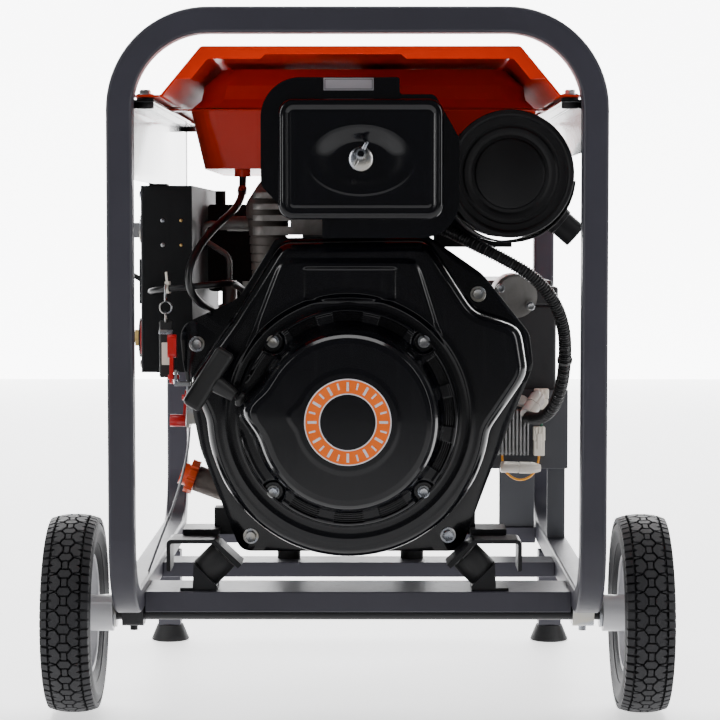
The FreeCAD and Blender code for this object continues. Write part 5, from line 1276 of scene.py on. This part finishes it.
# %% Plugs
loom_parts = islands("loom")
housings = [part for part in loom_parts if size_of(part).min() > 0.009]
print("loom housings:", [tuple(np.round(size_of(part), 3)) for part in housings])
first_plug = True
for number, part in enumerate(housings):
    place, size = centre_of(part), size_of(part)
    if size[2] > size[0] and size[1] < 0.0125:
        name = f"plug_{number + 1}"
        lower = solid_box(name + "_lower", place - np.array([0, 0, size[2] * 0.24]),
                          (size[0] * 0.9, size[1], size[2] * 0.52), white_plastic, "frame", 0.0012)
        solid_box(name + "_upper", place + np.array([0, 0, size[2] * 0.25]),
                  (size[0], size[1] * 0.88, size[2] * 0.50), white_plastic, "frame", 0.0016)
        solid_box(name + "_latch", place + np.array([0, -size[1] * 0.5, 0]), (0.0050, 0.0020, size[2] * 0.55),
                  white_plastic, "frame", 0.0007)
        for rib in (-1, 0, 1):
            solid_box(f"{name}_rib_{rib + 2}", place + np.array([rib * size[0] * 0.27, -size[1] * 0.46,
                                                                size[2] * 0.36]),
                      (0.0012, 0.0016, size[2] * 0.22), white_plastic, "frame", 0.0004)
        if first_plug:
            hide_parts("loom")
            first_plug = False
    else:
        points = part[0] - place
        way = Vector(np.linalg.svd(points, full_matrices=False)[2][0])
        if way.x < 0:
            way = -way
        half = float(np.abs(points @ np.array(way)).max())
        base = Vector(place) - way * half
        run = 2 * half
        lathe("fuse_holder_body", [(0.0058, 0.0), (0.0066, 0.0010), (0.0066, run * 0.42), (0.0060, run * 0.43),
                                   (0.0060, run * 0.46), (0.0069, run * 0.47), (0.0069, run * 0.80),
                                   (0.0052, run * 0.93), (0.0040, run)],
              base, way, clear_plastic, "frame", steps=48)
print("plugs and fuse holder made")

# %% [markdown]
# ## Key tag
#
# The spare keys hang on a wire loop round the sleeve: loop, split rings, and a black fob.


# %% Key tag
def wire_ring(name, centre, normal, radius, wire, turns=1.0, pitch=0.0):
    """A ring of zinc wire that hangs with the tag; a split ring has nearly two turns."""
    normal = Vector(normal).normalized()
    side = normal.orthogonal().normalized()
    other = normal.cross(side)
    turn = np.linspace(0, turns * 2 * math.pi, int(64 * turns) + 1)
    line = (np.array(centre) + radius * (np.outer(np.cos(turn), side) + np.outer(np.sin(turn), other))
            + np.outer(turn / (2 * math.pi) * pitch, normal))
    return sweep(name, line, wire, zinc, "hanging_tag", steps=14)


low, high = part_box("key_tag")
tag_x, tag_y = (low.x + high.x) / 2, (low.y + high.y) / 2
loop = wire_ring("tag_loop", (tag_x, tag_y, high.z - 0.0100), (1, 0, 0), 0.0092, 0.0009)
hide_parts("key_tag")
wire_ring("tag_split_ring", (tag_x, tag_y - 0.0008, high.z - 0.0250), (0, 1, 0), 0.0062, 0.0008,
          turns=1.9, pitch=0.0016)
wire_ring("tag_link", (tag_x, tag_y, high.z - 0.0350), (1, 0, 0), 0.0052, 0.0010)
fob_height = high.z - 0.0385 - low.z
solid_box("tag_fob", (tag_x, tag_y, low.z + fob_height / 2), (0.0138, 0.0050, fob_height),
          black_plastic, "hanging_tag", 0.0022)
solid_box("tag_fob_band", (tag_x, tag_y, low.z + fob_height * 0.80), (0.0144, 0.0056, 0.0050), zinc,
          "hanging_tag", 0.0008)
solid_box("tag_fob_window", (tag_x, tag_y, low.z + fob_height * 0.42), (0.0088, 0.0056, fob_height * 0.40),
          white_plastic, "hanging_tag", 0.0008)
print("key tag hung")

# %% [markdown]
# ## Battery
#
# A moulded case with stiffening ribs, a lid with six vent plugs, and lead posts
# under red and black boots.

# %% Battery
low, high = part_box("battery")
case_top = high.z - 0.014
middle = (low + high) / 2
width, depth = high.x - low.x, high.y - low.y
case_height = case_top - 0.022 - low.z
case = solid_box("battery_case", (middle.x, middle.y, low.z + case_height / 2),
                 (width - 0.004, depth - 0.004, case_height), battery_case, "frame", 0.0030)
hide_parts("battery")
solid_box("battery_lid", (middle.x, middle.y, case_top - 0.011), (width, depth, 0.0216), battery_case,
          "frame", 0.0028)
solid_box("battery_lid_step", (middle.x + width * 0.14, middle.y, case_top + 0.0030),
          (width * 0.62, depth * 0.92, 0.0080), battery_case, "frame", 0.0026)
for number in range(9):
    y = low.y + depth * (0.12 + 0.095 * number)
    for way in (-1, 1):
        solid_box(f"battery_rib_{number + 1}_{'left' if way < 0 else 'right'}",
                  (middle.x + way * (width / 2 - 0.0022), y, low.z + case_height * 0.46),
                  (0.0032, 0.0050, case_height * 0.82), battery_case, "frame", 0.0010)
for number in range(6):
    y = low.y + depth * (0.14 + 0.144 * number)
    lathe(f"vent_plug_{number + 1}", [(0.0090, 0.0), (0.0092, 0.0022), (0.0082, 0.0034), (0.0040, 0.0034),
                                      (0.0036, 0.0026), (0.0004, 0.0026)],
          (middle.x + width * 0.14, y, case_top + 0.0068), (0, 0, 1), black_plastic, "frame", steps=40)
for name, y, boot in (("plus", low.y + 0.027, red_plastic), ("minus", high.y - 0.027, black_plastic)):
    post = (low.x + 0.0265, y, case_top)
    lathe(f"battery_post_{name}", [(0.0125, -0.0005), (0.0125, 0.0015), (0.0080, 0.0022), (0.0074, 0.0130),
                                   (0.0064, 0.0138), (0.0004, 0.0138)],
          post, (0, 0, 1), cast_alloy, "frame", steps=40)
    lathe(f"battery_boot_{name}", [(0.0128, 0.0016), (0.0130, 0.0050), (0.0112, 0.0110), (0.0100, 0.0112)],
          post, (0, 0, 1), boot, "frame", steps=40, caps=(False, False))
print("battery built")

# %% [markdown]
# ## Welding panel
#
# The panel faces the left. It has a current dial with a printed scale, a meter, two round sockets
# with three contacts each, a breaker, a key switch and two brass welding studs on insulating blocks.


# %% Panel pieces
def arc_marks(name, centre, inner, outer, start, end, count, wide, finish, lift):
    """Printed marks in an arc on a face that looks to the left."""
    points, faces = [], []
    for number in range(count):
        turn = math.radians(start + (end - start) * number / (count - 1))
        way, side = np.array([math.cos(turn), math.sin(turn)]), np.array([-math.sin(turn), math.cos(turn)])
        long = outer if number % 5 == 0 else inner + (outer - inner) * 0.6
        for r, s in ((inner, -wide / 2), (long, -wide / 2), (long, wide / 2), (inner, wide / 2)):
            y, z = way * r + side * s
            points.append((centre[0] - lift, centre[1] + y, centre[2] + z))
        faces.append([4 * number + k for k in range(4)])
    thing = piece(name, points, faces)
    thing.modifiers.new("ink", "SOLIDIFY").thickness = 0.0001
    dress(thing, finish, "frame")


panel_low, panel_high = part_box("control_panel")
face_x = panel_low.x
knob_low, knob_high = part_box("current_knob")
knob = ((knob_low.y + knob_high.y) / 2, (knob_low.z + knob_high.z) / 2)
arc_marks("dial_scale", (face_x, *knob), 0.0205, 0.0245, -45, 225, 31, 0.0007, label_white, 0.0002)
fitting_parts = islands("panel_fittings")
for number, part in enumerate(fitting_parts):
    place, size = centre_of(part), size_of(part)
    name = f"fitting_{number + 1}"
    if size[1] > 0.055 and size[0] > 0.004:
        finish = black_plastic
    elif size[1] > 0.05 and size[0] < 0.002:
        finish = label_white
        needle_centre = (part[0][:, 0].min(), place[1], place[2] - 0.0105)
        arc_marks("meter_scale", needle_centre, 0.0185, 0.0225, 40, 140, 21, 0.0004, hose_rubber, 0.0001)
        solid_box("meter_needle", (needle_centre[0] - 0.0005, place[1] - 0.0052, place[2] - 0.0010),
                  (0.0003, 0.0007, 0.0205), red_plastic, "frame", 0.0001,
                  ((1, 0, 0), (0, math.cos(0.5), math.sin(0.5)), (0, -math.sin(0.5), math.cos(0.5))))
    elif size[1] < 0.03:
        finish = zinc
    else:
        finish = black_plastic
    dress(piece(name, part[0], part[1]), finish, "frame", 30, 0.0006)
    if abs(size[1] - 0.054) < 0.002 and abs(size[2] - 0.054) < 0.002:
        for turn in (90, 210, 330):
            contact = (place[0] + size[0] * 0.2, place[1] + 0.0105 * math.cos(math.radians(turn)),
                       place[2] + 0.0105 * math.sin(math.radians(turn)))
            lathe(f"{name}_contact_{turn}",
                  [(0.0030, 0.0), (0.0030, 0.0032), (0.0022, 0.0038), (0.0004, 0.0038)],
                  contact, (-1, 0, 0), brass, "frame", steps=24)
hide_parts("panel_fittings")
terminals = []
for number, part in enumerate(islands("weld_terminals")):
    size = size_of(part)
    finish = black_plastic if size[2] > 0.03 else brass
    terminals.append(dress(piece(f"terminal_{number + 1}", part[0], part[1]), finish, "frame", 30, 0.0005))
    if size[2] > 0.03:
        place = centre_of(part)
        boot = red_plastic if len(terminals) % 2 else hose_rubber
        lathe(f"terminal_ring_{number + 1}",
              [(0.0214, -0.0005), (0.0232, 0.0), (0.0232, 0.0022), (0.0212, 0.0030)],
              (face_x, place[1], place[2]), (-1, 0, 0), boot, "frame", steps=64, caps=(False, False))
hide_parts("weld_terminals")
corner_number = 0
for y in (panel_low.y + 0.010, (panel_low.y + panel_high.y) / 2, panel_high.y - 0.010):
    for z in (panel_low.z + 0.009, panel_high.z - 0.009):
        corner_number += 1
        lathe(f"panel_screw_{corner_number}", [(0.0042, 0.0), (0.0044, 0.0006), (0.0036, 0.0018),
                                               (0.0014, 0.0024), (0.0012, 0.0014), (0.0004, 0.0014)],
              (face_x, y, z), (-1, 0, 0), zinc, "frame", steps=32)

# %% [markdown]
# ## Small fittings
#
# These are the pieces a fitter adds last. A blank plate is glued to the air cleaner's base. Two
# screws hold the solenoid's cap. Four rivets hold the relays inside the control box. A ribbed
# breather tower stands at the side of the cylinder head.

# %% Blank plate on the air cleaner
flange = max(islands("filter_base"), key=lambda part: size_of(part)[2])
flange_front = flange[0][:, 1].min()
plate_x, plate_z = -9 * MM, 646.0 * MM
solid_box("blank_plate", (plate_x, flange_front - 0.25 * MM, plate_z), (0.0500, 0.0006, 0.0125),
          label_grey, "frame", 0.0002)
border = []
for grow in (0.0, 0.0006):
    half_w, half_h = 0.0233 + grow, 0.0046 + grow
    border.append([(plate_x + x, flange_front - 0.62 * MM, plate_z + z)
                   for x, z in ((-half_w, -half_h), (half_w, -half_h), (half_w, half_h), (-half_w, half_h))])
frame_line = piece("blank_plate_line", border[0] + border[1],
                   [[side, (side + 1) % 4, (side + 1) % 4 + 4, side + 4] for side in range(4)])
frame_line.modifiers.new("ink", "SOLIDIFY").thickness = 0.00008
dress(facing(frame_line), black_plastic, "frame")
print("blank plate on")

# %% Solenoid screws
solenoid = max(islands("starter_motor"), key=lambda part: centre_of(part)[2])
cap_centre, cap_front = centre_of(solenoid), solenoid[0][:, 1].min()
for number, (across, up) in enumerate(((-0.0150, 0.0105), (0.0172, -0.0089))):
    hexagon_head(f"solenoid_screw_{number + 1}", (cap_centre[0] + across, cap_front, cap_centre[2] + up),
                 (0, -1, 0), 0.0068, 0.0030, 0.0046)
print("solenoid cap screwed down")

# %% Relay rivets
box_front = min(part[0][:, 1].min() for part in islands("control_box"))
rivets = ((-206.0, 510.3, 2.3, zinc), (-206.0, 484.4, 2.3, zinc),
          (-186.5, 510.3, 1.7, brass), (-186.5, 484.4, 1.7, brass))
for number, (x, z, r, finish) in enumerate(rivets):
    lathe(f"relay_rivet_{number + 1}", [(r * MM, 0.0), (r * MM, -0.3 * MM), (0.75 * r * MM, -0.8 * MM),
                                        (0.3 * r * MM, -1.0 * MM)],
          (x * MM, box_front, z * MM), (0, 1, 0), finish, "frame", steps=32, angle=60)
print("box riveted")

# %% Breather tower
tower_foot = (-97.0 * MM, -118.0 * MM, 448.0 * MM)
foot_r, rib_count, rib_step = 0.0180, 7, 0.0092
tower = []
for ring in range(rib_count):
    up = ring * rib_step
    r = foot_r + 0.0006 * ring
    tower += [(r, up), (r, up + 0.0078), (r - 0.0011, up + 0.0082), (r - 0.0011, up + rib_step)]
top = rib_count * rib_step
tower += [(0.0236, top), (0.0240, top + 0.0012), (0.0240, top + 0.0165), (0.0232, top + 0.0180),
          (0.0110, top + 0.0370), (0.0085, top + 0.0400)]
lathe("breather_tower", tower, tower_foot, (0, 0, 1), tower_grey, "frame", steps=72, edge=0.0003)
print("breather tower stands", round(top + 0.04, 3), "m tall")

# %% [markdown]
# ## Ground and studio
#
# A pale floor and a white wall stand for the studio. The floor glows from the machine's front edge
# backwards, and stays dark before it, so that the black fronts have nothing bright to mirror.

# %% Studio
floor_finish = Finish("floor_white", Roughness=0.55)
floor_finish.give(Base_Color=floor_finish.mix(floor_finish.noise(3.0).ramp(0.3, 0.7), (0.93, 0.93, 0.935),
                                              (0.97, 0.97, 0.97)))
under_machine = floor_finish.axis("Y").ramp(-0.42, -0.20)
floor_finish.give(Emission_Color=floor_finish.mix(under_machine, (0.0, 0.0, 0.0), (1.0, 1.0, 1.0)))
floor_finish.shader.inputs["Emission Strength"].default_value = 1.5
floor = piece("floor", [(-5, -4, 0), (5, -4, 0), (5, 5, 0), (-5, 5, 0)], [[0, 1, 2, 3]])
floor.data.materials.append(floor_finish.material)
wall_finish = Finish("wall_white", Roughness=0.8, Base_Color=(0.9, 0.9, 0.9), Emission_Strength=7.0)
wall_finish.give(Emission_Color=wall_finish.mix(wall_finish.noise(1.0), (1.0, 1.0, 1.0), (0.98, 0.98, 1.0)))
wall = piece("studio_wall", [(-5, 5, -0.5), (5, 5, -0.5), (5, 5, 5), (-5, 5, 5)], [[0, 1, 2, 3]])
wall.data.materials.append(wall_finish.material)
